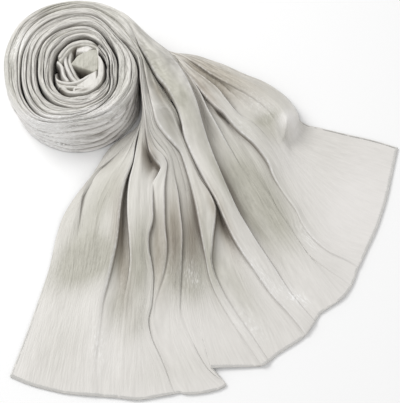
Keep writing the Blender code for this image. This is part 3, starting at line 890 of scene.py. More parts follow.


# Each patch adds to the marks: layers for stacked layers, for painted shade where positive and painted light where
# negative; hollow for painted shade in valleys and notches, and painted light where negative; shimmer for painted
# glints; warm_shade for the warm tint of painted shade.
TONES = (
    Tone("shade across the first panel", (-135, -79), 40, 24, 35, 0.95, 0.09, 0),
    Tone("its darker middle", (-124, -66), 19, 9, 60, 0.2, 0.03, 0),
    Tone("foot of the first panel's shade", (-109, -79), 19, 26, 80, 0.25, 0, 0),
    Tone("lower second panel", (-69, -80), 52, 12, 90, 0.7, 0.05, 0),
    Tone("first valley", (-90, -62), 56, 8, 95, 0.4, 0.46, 0, 0.9),
    Tone("foot of the first valley", (-93, -128), 26, 13, 80, 0.55, 0.06, 0),
    Tone("foot of the second panel", (-73, -152), 24, 13, 60, 0.3, 0.02, 0),
    Tone("third panel", (-48, -64), 44, 7, 92, 0.45, 0.36, 0, 0.8),
    Tone("fourth panel", (-31, -50), 47, 9, 90, 0.55, 0.36, 0, 0.5),
    Tone("fifth panel", (-9, -45), 42, 9, 90, 0.45, 0.68, 0, 0.8),
    Tone("below the fourth panel", (-25, -94), 31, 19, 90, 0.5, 0.08, 0.12),
    Tone("dark wedge", (24, -28), 38, 7, 112, 0.4, 0.38, 0, 0.8),
    Tone("below the dark wedge", (41, -104), 47, 14, 120, 0.45, 0, 0),
    Tone("olive back", (66, 9), 68, 25, 128, 0.75, 0.05, 0),
    Tone("foot of the olive back", (93, -41), 28, 19, 120, 0.3, 0, 0),
    Tone("eighth valley", (47, -7), 61, 7, 123, 0.55, 0.22, 0),
    Tone("olive strip at the top", (-45, 143), 40, 13, 130, 0.6, 0, 0),
    Tone("end of the olive strip", (-26, 117), 14, 13, 130, 0.35, 0, 0),
    Tone("sixth panel at the neck", (-50, 122), 17, 6, 115, 0.3, 0.15, 0, 0.6),
    Tone("pink-brown top", (29, 150), 50, 17, 152, 0.35, 0.03, 0.15, 0.9),
    Tone("its deep middle", (6, 162), 28, 8, 145, 0.05, 0.04, 0, 0.5),
    Tone("knob", (86, 87), 19, 14, 110, 0.38, 0, 0),
    Tone("below the knob", (99, 60), 30, 20, 110, -0.15, -0.4, 0.1),
    Tone("right of the neck", (6, 130), 26, 5, 128, 0.1, 0.14, 0, 0.9),
    Tone("foot of the fan", (-28, -203), 71, 19, 10, 0.15, 0, 0),
    Tone("sparkle along the roll's front", (-135, 85), 71, 7, 10, -0.1, 0, 0.6),
    Tone("light end of the turned fold", (99, 93), 9, 6, 75, -0.4, -0.2, 0.3),
    Tone("light bulb of the knob", (110, 94), 13, 8, 100, -0.45, -0.35, 0.15),
    Tone("brown hollow of the neck", (13, 144), 27, 6, 140, 0.4, 0.24, 0, 0.9),
    Tone("notch by the olive strip", (-23, 83), 8, 2.2, 101, 0.3, 0.9, 0),
    Tone("notch below the tenth edge", (24, 104.5), 7, 2, 141, 0.3, 0.8, 0),
    Tone("shade left of the olive strip", (-36, 84), 17, 6, 112, 0.3, 0.24, 0),
    Tone("pocket", (-62, 50), 17, 7, 100, 0.3, 0.36, 0, 0.8),
    Tone("notch of the pocket", (-53, 44), 7, 2.5, 115, 0.3, 0.7, 0),
    Tone("lower sixth ridge", (13, -79), 48, 8, 100, 0.45, 0.03, 0),
    Tone("left of the second turn's front", (-190, 106), 26, 8, 120, 0.1, 0.04, 0),
    Tone("dark notch of the core, upper left", (-148.6, 175.6), 6.5, 2.6, 35, 0.3, 0.8, 0),
    Tone("dark notch of the core, upper right", (-123.4, 178.6), 5.5, 1.7, 150, 0.2, 0.7, 0),
    Tone("dark notch of the core, middle", (-142.0, 145.0), 9, 4, 40, 0.2, 0.45, 0),
    Tone("dark notch of the core, lower left", (-162.5, 118.0), 5.5, 2, 135, 0.3, 0.75, 0),
    Tone("dark notch of the core, lower right", (-136.5, 118.8), 6, 1.8, 15, 0.2, 0.7, 0),
    Tone("notch of the knob", (99, 73), 5, 2, 60, 0.2, 0.5, 0),
    Tone("olive flap at the knob", (79, 97), 15, 6, 20, 0.45, -0.1, 0.1),
    Tone("brow of the puff", (74, 113), 24, 9, 145, -0.1, 0, 0.3),
    Tone("flat corner", (179, -5), 78, 61, 60, -0.2, 0, 0),
    Tone("sparkle on the corner fold", (108, -118), 17, 7, 150, 0, 0, 0.75),
    Tone("sparkle on the fifth panel", (-6, -97), 19, 9, 110, 0, 0, 0.35),
    Tone("sparkle on the tenth fold", (125, -48), 19, 6, 125, 0, 0, 0.45),
    Tone("sparkle on the seventh ridge", (71, -95), 31, 6, 125, 0, 0, 0.35),
    Tone("sparkle at the foot", (56, -152), 24, 12, 130, 0, 0, 0.3),
    Tone("sparkle on the first panel", (-114, -175), 26, 9, 95, 0, 0, 0.3),
    Tone("sparkle on the tenth edge", (54, 85), 17, 6, 140, 0, 0, 0.25),
    Tone("sparkle on the roll's wall", (-176, 72), 34, 13, 165, -0.7, -0.12, 1),
    Tone("olive on the roll's wall", (-131, 72), 24, 12, 5, 0.5, 0.05, 0),
    Tone("sparkle left of the roll", (-213, 181), 19, 8, 60, -0.1, 0, 0.7),
    Tone("upper first panel", (-119, -14), 54, 18, 62, 0.5, 0.02, 0),
    Tone("foot of the first panel", (-157, -174), 54, 31, 65, 0.22, 0, 0),
    Tone("deep third panel", (-30, -47), 33, 9, 92, 0.1, 0.36, 0, 0.7),
    Tone("below the fifth panel", (-7, -92), 31, 15, 100, 0.85, 0.14, 0),
    Tone("middle of the seventh ridge", (-9, 92), 31, 11, 120, 0.25, 0, 0),
    Tone("left outer fold", (-226, 140), 47, 12, 88, 0.45, 0.04, 0.3),
    Tone("front of the second turn", (-117, 90), 35, 11, 25, -0.2, 0, 0.25),
    Tone("olive back wall", (-168, 234), 42, 7, 15, 0.35, 0, 0),
    Tone("olive back wall, right", (-115, 224), 26, 8, 155, 0.3, 0, 0),
    Tone("bright right fold", (-92, 130), 28, 8, 92, 0.3, 0.03, 0.2),
)


MOST_LAYERS = 1.3


def toned(points: np.ndarray, layers: np.ndarray, hollow: np.ndarray, gather: Any) -> dict[str, np.ndarray]:
    """Return the marks of a piece, with the soft patches added.

    Args:
        points: The piece's points, in millimetres.
        layers: How many layers lie on each other, 0 for one, raised by painted shade and lowered by painted light.
        hollow: How much painted shade darkens the cloth where it sinks between folds.
        gather: How tightly the cloth's width is gathered, which coarsens its streaks.

    Returns:
        The marks named layers, hollow, shimmer, warm_shade and gather.
    """
    marks = {"layers": layers, "hollow": hollow, "shimmer": 0.0, "warm_shade": 0.0}
    for tone in TONES:
        strength = tone.at(points)
        for mark in marks:
            marks[mark] = marks[mark] + getattr(tone, mark) * strength
    marks["gather"] = np.broadcast_to(gather, points.shape[:2])
    return {mark: np.clip(values, 0.0, MOST_LAYERS if mark == "layers" else 1.0) for mark, values in marks.items()}


@dataclass
class RollTurn:
    """One whole turn of the roll."""

    name: str
    node: str
    band: Band
    start: float
    outermost: bool
    finish: SatinFinish
    flat: tuple[float, float]
    rows: int = 330
    tuck: float = 3.0
    tuck_depth: float = 0.35
    wall: float = 0.3
    layers: float = 0.42
    uneven_layers: float = 0.16
    ends: float = 20.0
    front_from: float = 150.0
    brow_column: int = 66

    def build(self) -> bpy.types.Object:
        """Make the turn: the band's section carried round the roll's middle for a whole turn.

        Its first rows are tucked under the piece before it, so that no gap shows between them.

        Returns:
            The turn's piece.
        """
        bearing = np.linspace(self.start, self.start + TURN, self.rows)
        bearing = np.concatenate([self.start - np.linspace(self.tuck, 0.0, 4)[:-1], bearing])
        section = self.band.section(bearing, self.outermost)
        section[..., :2] -= self.tuck_depth * ease((self.start - bearing) / self.tuck)[:, None, None]
        section[..., 1] = np.maximum(section[..., 1], ROLL_LOWEST)
        points = self.band.at(bearing[:, None], section[..., 0], section[..., 1])
        across = arc_shares(section) * CLOTH_WIDTH
        along = np.broadcast_to(self.band.along(bearing)[:, None], across.shape)
        # Painted shade in the band's hollows and creases.
        hollow = self.band.sunk_shade(section)
        column = np.arange(section.shape[1])[None, :]
        fade = (ease((bearing - self.start) / self.ends) * ease((self.start + TURN - bearing) / self.ends))[:, None]
        uneven = Unevenness(Seed.ROLL_LAYERS, 9.0, 40.0).at(column, bearing[:, None])
        layers = self.layers + self.uneven_layers * fade * uneven
        if self.outermost:
            # On the front of the outer wall, painted light lightens the cloth like a sheen, and the streaks' dark parts
            # add painted shade.
            front = fade * ease((bearing - self.front_from) / 60.0)[:, None] * ease((column - self.brow_column) / 12.0)
            streaks = Unevenness(Seed.WALL_STREAKS, 3.2, 12.0).at(column, bearing[:, None])
            layers = layers + front * (0.6 * streaks - 0.7)
            hollow = hollow + front * 0.5 * np.clip(streaks - 0.15, 0.0, 1.0)
        marks = toned(points, layers, hollow, 1.0)
        made = grid_piece(self.name, place(points), np.stack([across, along], axis=-1), marks)
        thicken(made, self.wall)
        made.data.materials.append(self.finish.material())
        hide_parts(self.node)
        return made


Cell = tuple[float, float, float] | tuple[float, float, float, float]


@dataclass(frozen=True)
class FoldLine:
    """One line along the fan, from beside the roll to the hem.

    Each point is x, y and the cloth's height, or its heights just left and just right of the line
    where the edge of one layer lies over the next in a crisp step.
    """

    name: str
    points: tuple[Cell, ...]

    def at(self, shares: np.ndarray) -> np.ndarray:
        """Return the line at shares of its length.

        Args:
            shares: Shares from 0 at the roll to 1 at the hem.

        Returns:
            x, y and the two heights, shape (shares, 4).
        """
        table = np.array([cell if len(cell) == 4 else (*cell, cell[2]) for cell in self.points], float)
        lengths = run_lengths(table[:, :2])
        lengths = lengths / lengths[-1]
        return np.concatenate([bowed_through(lengths, table[:, :2], shares),
                               smooth_through(lengths, table[:, 2:], shares)], axis=1)


FOLD_LINES = (
    FoldLine("left edge", ((-75, 158, 0), (-71, 104, 0), (-108.2, 68.6, 2), (-128.5, 32.8, 3), (-149.7, 0.7, 3),
        (-160.5, -20.8, 3), (-166.6, -42.9, 2), (-172.9, -80.8, 1.5), (-185.3, -127.4, 1.3), (-193.9, -156.7, 1.3),
        (-210.7, -210.4, 1.3))),
    FoldLine("left turn", ((-74.7, 158, 10), (-70.4, 103, 8), (-101.5, 65.7, 11), (-121.5, 28.5, 13),
        (-140.3, -3.4, 13), (-152.3, -27.6, 11), (-157.4, -51.3, 8), (-158.8, -77.1, 5), (-170.3, -128, 3),
        (-176.8, -157, 2.2), (-188, -219.4, 1.5))),
    FoldLine("left crease", ((-74.4, 158, 20), (-69.8, 102.3, 14), (-90.7, 65.3, 12), (-112.4, 43.1, 15, 11),
        (-126.1, 31, 16, 11), (-137.9, 1.7, 16, 10), (-140.6, -24.7, 13, 10), (-142.1, -49.7, 10, 10.5),
        (-142.6, -73.3, 8), (-147.7, -122.3, 4), (-157.1, -168.6, 2.5), (-167.8, -225, 1.3))),
    FoldLine("first panel", ((-74.2, 158, 26), (-69.5, 101.9, 19), (-84, 57.7, 20), (-103, 19.1, 20),
        (-114.9, -12.1, 19), (-120.8, -48.4, 17), (-124.7, -79.5, 12), (-132.7, -123, 6), (-140, -174.5, 3),
        (-145.5, -229.5, 1.6))),
    FoldLine("first edge", ((-74.1, 158, 32), (-69.2, 101.5, 24, 23), (-76.9, 64.9, 24, 16), (-79.3, 45, 25, 14),
        (-87.5, 19.5, 25, 14), (-91.6, -4.1, 24, 12), (-93.3, -28.6, 23, 11), (-95.1, -52.4, 21, 10),
        (-99.8, -78.8, 17, 8), (-105.5, -105, 13, 7), (-109.7, -124.2, 10, 6), (-112.3, -154.7, 6.5, 4.5),
        (-115.8, -189.6, 4, 3), (-116.7, -231.9, 2.5))),
    FoldLine("first valley", ((-73.8, 158, 42), (-68.6, 100.7, 28), (-76.8, 67, 14), (-80.2, 48.3, 9),
        (-86.5, 27.6, 6), (-89.5, 3.7, 5), (-90.1, -21.2, 4), (-89.5, -46.1, 4), (-90, -74, 3), (-91.5, -101.8, 3),
        (-95.2, -133.8, 3), (-102.9, -180.1, 2.5), (-106.8, -232.8, 1.5))),
    FoldLine("second edge", ((-73.7, 158, 47), (-68.2, 100.2, 33, 34), (-75.3, 58.4, 16, 24), (-78.8, 37.8, 11, 24),
        (-83, 20.3, 9, 23), (-84.8, -3.3, 8, 22), (-83.7, -27.8, 8, 21), (-81.5, -51.6, 7, 19), (-80, -74.5, 6, 15),
        (-82, -97.2, 5, 11), (-85.2, -115.3, 5, 8), (-87.1, -134.7, 4, 6), (-89.5, -174.8, 3, 4), (-90.2, -234, 2))),
    FoldLine("second panel", ((-73.5, 158, 53), (-67.7, 99.8, 38), (-69.5, 57, 27), (-70.3, 35.6, 26),
        (-69.9, 16.5, 26), (-70.5, -14.5, 25), (-69.9, -52.4, 21), (-68.5, -80.5, 15), (-69.3, -112, 9),
        (-69.9, -146.4, 6), (-70.1, -191.8, 3.5), (-70.4, -236.3, 2.2))),
    FoldLine("pocket", ((-73.2, 158, 55), (-66.8, 99.2, 41), (-66.1, 69.9, 30), (-63.9, 59.4, 22), (-59.4, 50.9, 12),
        (-55.8, 41, 8), (-58.2, 28, 17), (-60.7, 16.1, 24), (-61.3, -12, 25), (-64.2, -47.7, 21.5), (-64, -67.1, 18),
        (-60.4, -89.6, 13.5), (-60.1, -112.4, 10), (-64.2, -146.8, 7.2), (-59.2, -175, 5), (-50, -197.4, 3.6),
        (-40.7, -231.9, 2.2))),
    FoldLine("third edge", ((-72.9, 158, 57), (-66, 98.6, 44, 48), (-62.2, 67.1, 28, 36), (-59.2, 54.3, 18, 33),
        (-52.6, 43.6, 11, 31), (-46.2, 35.6, 8, 29), (-49.6, 26.2, 14, 27), (-54.3, 18.6, 22, 24),
        (-55.2, 4.3, 25, 21), (-54.9, -12, 25, 18), (-54.7, -28.9, 24, 14), (-59.1, -47.5, 21, 11),
        (-58.9, -63.8, 19, 9), (-55.3, -81.7, 15, 8), (-53.5, -97.5, 12, 7), (-53.9, -112.4, 10, 6),
        (-54.8, -127.4, 9, 5), (-58.5, -147, 8, 3.5), (-54.8, -166.4, 7, 3), (-44.5, -188.8, 5.2, 2.5),
        (-33.1, -217.7, 3.5, 2), (-28.6, -229.7, 2.4, 1.8))),
    FoldLine("third ridge", ((-72.3, 158.2, 59), (-65.3, 98.3, 49), (-59.1, 62.3, 38), (-52.6, 52.1, 35),
        (-45.6, 44, 33), (-42, 35.1, 30), (-44.3, 22.4, 27), (-47.7, 4.7, 24), (-48.1, -12.9, 21), (-48.6, -35.4, 15),
        (-48.9, -61.3, 12), (-48.1, -82.4, 10), (-49.6, -103.4, 8), (-51.6, -120.7, 6.5), (-53.7, -135.6, 5),
        (-54.7, -149.3, 3.8), (-50.5, -168.8, 3), (-40.1, -191.5, 2.6), (-27.6, -220.7, 2.2), (-22, -228.4, 1.8))),
    FoldLine("fourth edge", ((-71.8, 158.5, 56, 54), (-64.6, 98, 47, 46), (-58, 66.6, 37, 35), (-50.9, 54, 35, 31),
        (-43.2, 47.4, 34, 29), (-39.1, 39.8, 31, 26), (-39.9, 28.3, 28, 23), (-41.3, 16.1, 27, 20),
        (-41.4, -4.1, 24, 16), (-40.4, -34.4, 19, 12), (-37.9, -62.4, 15, 9), (-41.6, -92.4, 11, 7),
        (-47.2, -111.7, 8, 6), (-50.5, -124.1, 6, 5.2), (-51.5, -137.8, 4.4, 4.2), (-47.7, -163.1, 3.4, 3.2),
        (-35.7, -190.4, 2.8), (-22.1, -220.7, 2.2), (-15.4, -230.1, 2))),
    FoldLine("fourth panel", ((-71, 159, 57), (-63, 97.6, 48), (-55.8, 71, 36), (-47, 59.9, 32), (-39.9, 51.8, 30),
        (-35.8, 38.2, 26), (-34.5, 22.5, 21), (-33.2, -1.2, 17), (-31.3, -28.8, 14), (-30, -56.2, 11.5),
        (-31.5, -84.5, 9), (-34.7, -113.7, 6.6), (-35.6, -137.9, 5), (-32.5, -166.6, 3.6), (-22.2, -197.3, 3),
        (-9.9, -230.1, 2))),
    FoldLine("fifth edge", ((-69.8, 159.8, 55), (-60.5, 97.8, 47), (-53.4, 73.9, 38, 37), (-44, 62.9, 34, 33),
        (-36.4, 53.1, 30), (-32.2, 39.5, 26, 25.5), (-29.9, 24.6, 22, 20), (-26.2, 6.4, 20, 14),
        (-23.2, -18.3, 19, 10), (-20.7, -42.3, 17, 8), (-20.9, -65.7, 14, 7), (-21.7, -88.8, 11, 6),
        (-22.5, -120, 8, 5), (-22, -137.1, 6, 5), (-18, -151.9, 5, 4.5), (-10.1, -169.1, 4.4, 4),
        (-1.1, -187.3, 4, 3.4), (10, -204, 3, 2.6), (29, -219, 2))),
    FoldLine("fifth panel", ((-69.3, 160.1, 53), (-59.2, 98.2, 46), (-52.3, 79.5, 40), (-43.5, 69.5, 35),
        (-34.1, 60.2, 30), (-27.1, 47.6, 25), (-21.7, 31, 19), (-16.4, 9.7, 12), (-12.9, -14, 8), (-9.3, -40.8, 6.5),
        (-8.1, -65.3, 6), (-7.4, -93.2, 6), (-6.8, -120.6, 6), (-3.4, -146.3, 5.5), (3.4, -169.3, 5),
        (9.5, -190, 4.2), (12.8, -201.6, 4.4))),
    FoldLine("sixth edge", ((-68.4, 160.8, 50, 54), (-55.5, 99.9, 45, 49), (-51.6, 83.5, 40, 45),
        (-43.3, 72.5, 34, 41), (-31.6, 61.5, 28, 37), (-23.1, 53, 24, 33), (-19.5, 43.6, 21, 31),
        (-14.6, 27.9, 17, 29), (-11, 14.4, 14, 28), (-6.4, -5.3, 9, 27), (-1.7, -29.7, 6, 26), (3.4, -56.4, 4.5, 22),
        (7.4, -77.6, 4, 17), (10.2, -93.1, 4, 13), (15.9, -109.8, 3.8, 9.5), (24.9, -128.1, 3.6, 7.5),
        (34.9, -145.2, 3.4, 6), (48.2, -165.8, 3, 5), (68.9, -198.5, 2, 3.4))),
    FoldLine("sixth panel", ((-67.6, 161.5, 56), (-51.1, 103.3, 50), (-39.4, 91.9, 44), (-30.5, 78.7, 39),
        (-22.3, 65, 35), (-15.2, 49.1, 33), (-8.2, 30.8, 31), (-2.3, 12.3, 30), (3.5, -7.4, 29), (6.9, -30.1, 27),
        (9.1, -54.3, 23), (10.8, -75.5, 18), (13.7, -91, 14), (19.3, -106.6, 10.5), (28.3, -124.9, 8.5),
        (38.9, -142.6, 7), (52.7, -163.7, 5.8), (73.4, -196.4, 4))),
    FoldLine("sixth brim", ((-66.4, 161.9, 50), (-43.1, 110.3, 44), (-33, 96, 41), (-26.5, 79.6, 37), (-20, 64.6, 33),
        (-11.7, 44.9, 31, 30), (0, 19.9, 30, 26), (12.1, 1, 30, 20), (18.4, -14.4, 28, 13), (17.8, -30.1, 27, 9),
        (15.5, -45.3, 25, 7), (14.1, -60, 22, 6), (13.1, -74.3, 18, 5), (15.9, -89.8, 14, 4.5),
        (22.2, -105.4, 10.5, 4), (31.7, -123.7, 8.5, 3.6), (42.9, -141.9, 6.6, 3.3), (57.2, -163.6, 5.2, 2.7),
        (76.8, -194, 3.6, 2))),
    FoldLine("dark wedge", ((-65.5, 162.3, 44), (-39.9, 117.7, 36), (-30.3, 104, 33), (-24.3, 85.6, 30),
        (-17.7, 68.7, 27), (-8.8, 49.4, 24), (3.5, 26.7, 17), (15.9, 9.9, 10), (22.3, -5.6, 6), (24.6, -21.4, 4.5),
        (27.9, -39.9, 4), (33.5, -62.1, 4), (40.2, -83.9, 3.6), (49.1, -106.6, 3.2), (60.1, -130.2, 2.8),
        (71, -153.5, 2.4), (84.9, -186.7, 1.6))),
    FoldLine("seventh edge", ((-63.4, 165.3, 38, 48), (-51.2, 142.6, 33, 46), (-41.6, 131, 29, 45),
        (-33.2, 117.3, 27, 42), (-26.6, 103.6, 29, 39), (-22.1, 88.8, 29, 37), (-18.8, 72.3, 27, 36),
        (-12.9, 57.2, 25, 35), (-4.7, 39.3, 23, 35), (6.9, 15.6, 17, 34), (19, -6.5, 9, 33), (25.8, -22.6, 7, 30),
        (34.9, -43.2, 5, 26), (49.1, -67.8, 4.5, 20), (62.6, -88.1, 4, 16), (82.1, -117.2, 3, 10.5),
        (98.8, -136.3, 2.6, 7.5), (114.7, -156.6, 2.2, 5), (119.1, -163, 2, 3))),
    FoldLine("seventh ridge", ((-47.7, 165.1, 53), (-36.8, 146.6, 51), (-26.1, 130.8, 48), (-16.5, 113.7, 45),
        (-10.6, 96.8, 42), (-5.3, 76.9, 40), (0.6, 57.9, 39), (8.1, 39.2, 38), (18.5, 16.8, 37), (28.8, -4.8, 35),
        (36.1, -22.2, 32), (45.8, -42.4, 27), (58.8, -65.7, 21), (71.7, -86, 17), (90.6, -116.4, 11.5),
        (106.1, -134.3, 8.5), (121.5, -151, 5.6), (125, -154.9, 3.2))),
    FoldLine("eighth edge", ((-35.5, 171.5, 44, 42), (-25.8, 160.5, 43, 39), (-17.9, 147.5, 42, 36),
        (-9.5, 129.1, 41, 31), (-2.7, 110.2, 39, 27), (2.4, 91.4, 37, 24), (8.2, 72.3, 36, 21), (15.2, 52.1, 35, 19),
        (21.5, 35.9, 34, 16), (29.5, 14.8, 33, 12), (37.5, -4.4, 31, 9), (46, -21.9, 28, 7), (56.2, -38.8, 24, 5.5),
        (71, -62.4, 18.5, 4.5), (83.9, -82.6, 14, 4), (101.1, -111, 9.5, 3.2), (114.3, -129.1, 7, 2.7),
        (126.4, -143.7, 4.8, 2.2), (129.8, -147.9, 3, 2))),
    FoldLine("eighth valley", ((-31.5, 174.4, 36), (-23, 164.1, 34), (-15.7, 151.5, 32), (-7.2, 134.7, 28),
        (0, 117.9, 24), (6, 99.8, 20), (12.5, 82.7, 17), (20.2, 63.2, 15), (27.3, 47, 12), (36.1, 26.8, 8),
        (44.8, 8.8, 5), (55.2, -11.1, 4), (66.6, -29.8, 3.5), (81.2, -54.5, 3.2), (93.4, -76.4, 3),
        (108.6, -106.4, 2.5), (120.6, -124.1, 2.1), (133.7, -137, 1.7), (135.4, -139.3, 1.6))),
    FoldLine("ninth edge", ((-30.5, 173.7, 36, 35), (-21.1, 161.4, 34, 33), (-9.6, 144.2, 33, 30), (0, 129, 31, 25),
        (9.5, 108.6, 29, 21), (19, 92.4, 27, 19), (29.7, 73.2, 23, 17), (41.5, 52.5, 17, 14.5),
        (53.2, 31.7, 11.5, 11), (65.9, 7.1, 9), (78.3, -16.5, 8), (91.7, -41, 7), (105.1, -64.1, 6),
        (118.2, -85.6, 5), (131.3, -106.9, 4), (141, -122, 3), (144.1, -132.4, 2.2))),
    FoldLine("ninth panel", ((-29.7, 173.8, 35), (-20.2, 161.6, 31), (-8.2, 146, 27), (3.6, 129.7, 22),
        (15.6, 113.2, 20), (27.5, 95.2, 18.5), (39.3, 74.5, 17.5), (52.1, 51.7, 16), (66, 28, 14), (79.7, 5.5, 13),
        (92.1, -15.5, 12), (105.6, -37.2, 10), (118.9, -58.6, 8), (132.1, -80, 6.4), (146.3, -101, 4.4),
        (162.8, -119.5, 2.5))),
    FoldLine("tenth crease", ((-29.1, 174, 34), (-19.4, 161.4, 29), (-7.3, 146, 24.5), (6, 129.4, 20),
        (17.5, 116, 17), (25.9, 108.1, 15.5), (34.8, 93.8, 16), (45.4, 77.9, 16), (57.1, 60.2, 14.5),
        (68.7, 40.1, 13), (77.8, 19.1, 11), (87.8, -5.7, 9.5), (95.5, -26.6, 8, 8.4), (104.2, -48.7, 6, 7.6),
        (114.4, -58.1, 4.8, 6.6), (130.2, -72.4, 3.8, 5.4), (149.3, -87.1, 2.8, 4), (163.8, -97.6, 2.1, 2.9),
        (173.8, -105.1, 1.8, 2.2))),
    FoldLine("tenth edge", ((-28.4, 172.9, 33, 35), (-18.3, 155.9, 27, 34), (-6.2, 140.8, 23, 33),
        (7.2, 123.7, 18, 31), (19.1, 111.3, 14, 29), (28, 104.1, 12, 28), (35.7, 94.2, 14, 26), (47.6, 81.1, 14, 23),
        (61.7, 68.5, 13, 22), (71, 57.7, 11, 20), (80.3, 43.5, 9, 17), (86.1, 28.5, 8, 13), (97.6, 8.4, 6.5, 9),
        (113.4, -16.3, 5.2, 7.6), (119.9, -32.3, 4.6, 7), (131, -48.2, 4, 6.2), (146.8, -62.5, 3.2, 5),
        (169.4, -74.3, 2.6, 4), (183, -82.4, 2, 2.8))),
    FoldLine("pink ridge", ((-26, 170.9, 37), (-14.4, 156.3, 37), (-1.2, 142.6, 36), (13.2, 127.5, 34),
        (25.1, 116.4, 32), (34, 106.8, 30), (44, 95.9, 28), (55.8, 84.9, 26), (67.6, 73, 23.5), (79.4, 59.4, 19),
        (90, 43.7, 13.5), (100.5, 22.9, 8), (115.6, -5.7, 6.2), (125, -25.5, 5.4), (137.2, -43.9, 4.6),
        (154.1, -58.3, 3.6), (174.4, -69.7, 2.8), (188.3, -72.4, 2))),
    FoldLine("pink edge", ((-23.6, 170.9, 37, 34), (-9.6, 157, 37, 29), (7.2, 143.9, 36, 24), (21.5, 131.5, 34, 20),
        (31.1, 119.1, 32, 18), (38.8, 108.8, 30, 18), (47.7, 99.7, 27, 20), (59.6, 93.4, 25, 21),
        (69.6, 85.1, 23, 20), (80.9, 72.5, 19, 18), (93.9, 54.4, 13), (106.6, 29.6, 7.4), (123.6, 1.1, 5.2),
        (135.7, -21.3, 4.4), (150.2, -39.8, 3.6), (169.5, -51.9, 2.8), (194.8, -59, 2))),
    FoldLine("brown hollow", ((-19.4, 173.2, 33), (-6.1, 165.2, 27), (12.2, 154.7, 24), (27.9, 143.2, 23),
        (40, 130.3, 22), (51.9, 117.4, 21.5), (63.6, 105.6, 21), (74.3, 95.5, 18), (84.9, 81.8, 16), (97.8, 63.1, 11),
        (114.2, 37.1, 5), (131.1, 10.6, 3.8), (145.6, -13.3, 3.2), (163.5, -31.9, 2.6), (181.8, -41.7, 2.2),
        (200, -49.1, 1.9))),
    FoldLine("turned crease", ((-14.5, 172.9, 32, 34), (-3.6, 165.5, 29, 34), (10.9, 155.1, 28, 32),
        (25.3, 146.1, 28, 30.5), (40.8, 137.1, 28, 30), (57.5, 126.9, 28, 29.5), (72.9, 115.3, 27.5, 29),
        (83.5, 103.8, 27, 28), (91, 91.5, 25, 26), (96.6, 76.1, 17), (111.1, 56.2, 6), (131.9, 30, 3.4),
        (154.6, 4.6, 2.8), (176.1, -14.3, 2.4), (193.2, -25.5, 2.1), (208.1, -31.6, 1.8))),
    FoldLine("turned fold", ((-7.3, 173.9, 33), (10.9, 165.3, 33), (30.1, 155.1, 33), (49.3, 144.2, 33),
        (68.3, 132.7, 33), (84.8, 119.3, 33), (96.3, 106.6, 33), (102, 93.9, 32), (102.6, 84, 28), (101.9, 78.2, 18),
        (109.2, 69.8, 5), (130.3, 51, 3), (157.1, 33, 2.6), (183.8, 18.9, 2.2), (203.4, 10, 2), (220.8, 3.8, 1.7))),
    FoldLine("turned edge", ((0, 178.8, 26), (26.8, 169.1, 25), (52.1, 156, 25), (75, 145.8, 25), (93.9, 131, 26),
        (106.7, 116.2, 26), (114.1, 104, 25), (116, 95.1, 20), (114.3, 88.5, 9), (120.6, 81.4, 3), (144.3, 69.8, 2.2),
        (171.5, 59.4, 1.9), (201, 50.3, 1.7), (230.2, 38.6, 1.5))),
    FoldLine("right edge", ((6.2, 191.2, 3), (37.2, 177.8, 3), (61.7, 164.5, 3), (88.5, 151.3, 3), (107.7, 134.1, 3),
        (118.7, 116.3, 3), (122, 104.4, 2.5), (128.6, 99.9, 2), (145.4, 95.5, 1.5), (175.3, 87.4, 1.5),
        (211.1, 78.1, 1.5), (238.2, 68.9, 1.3))),
)


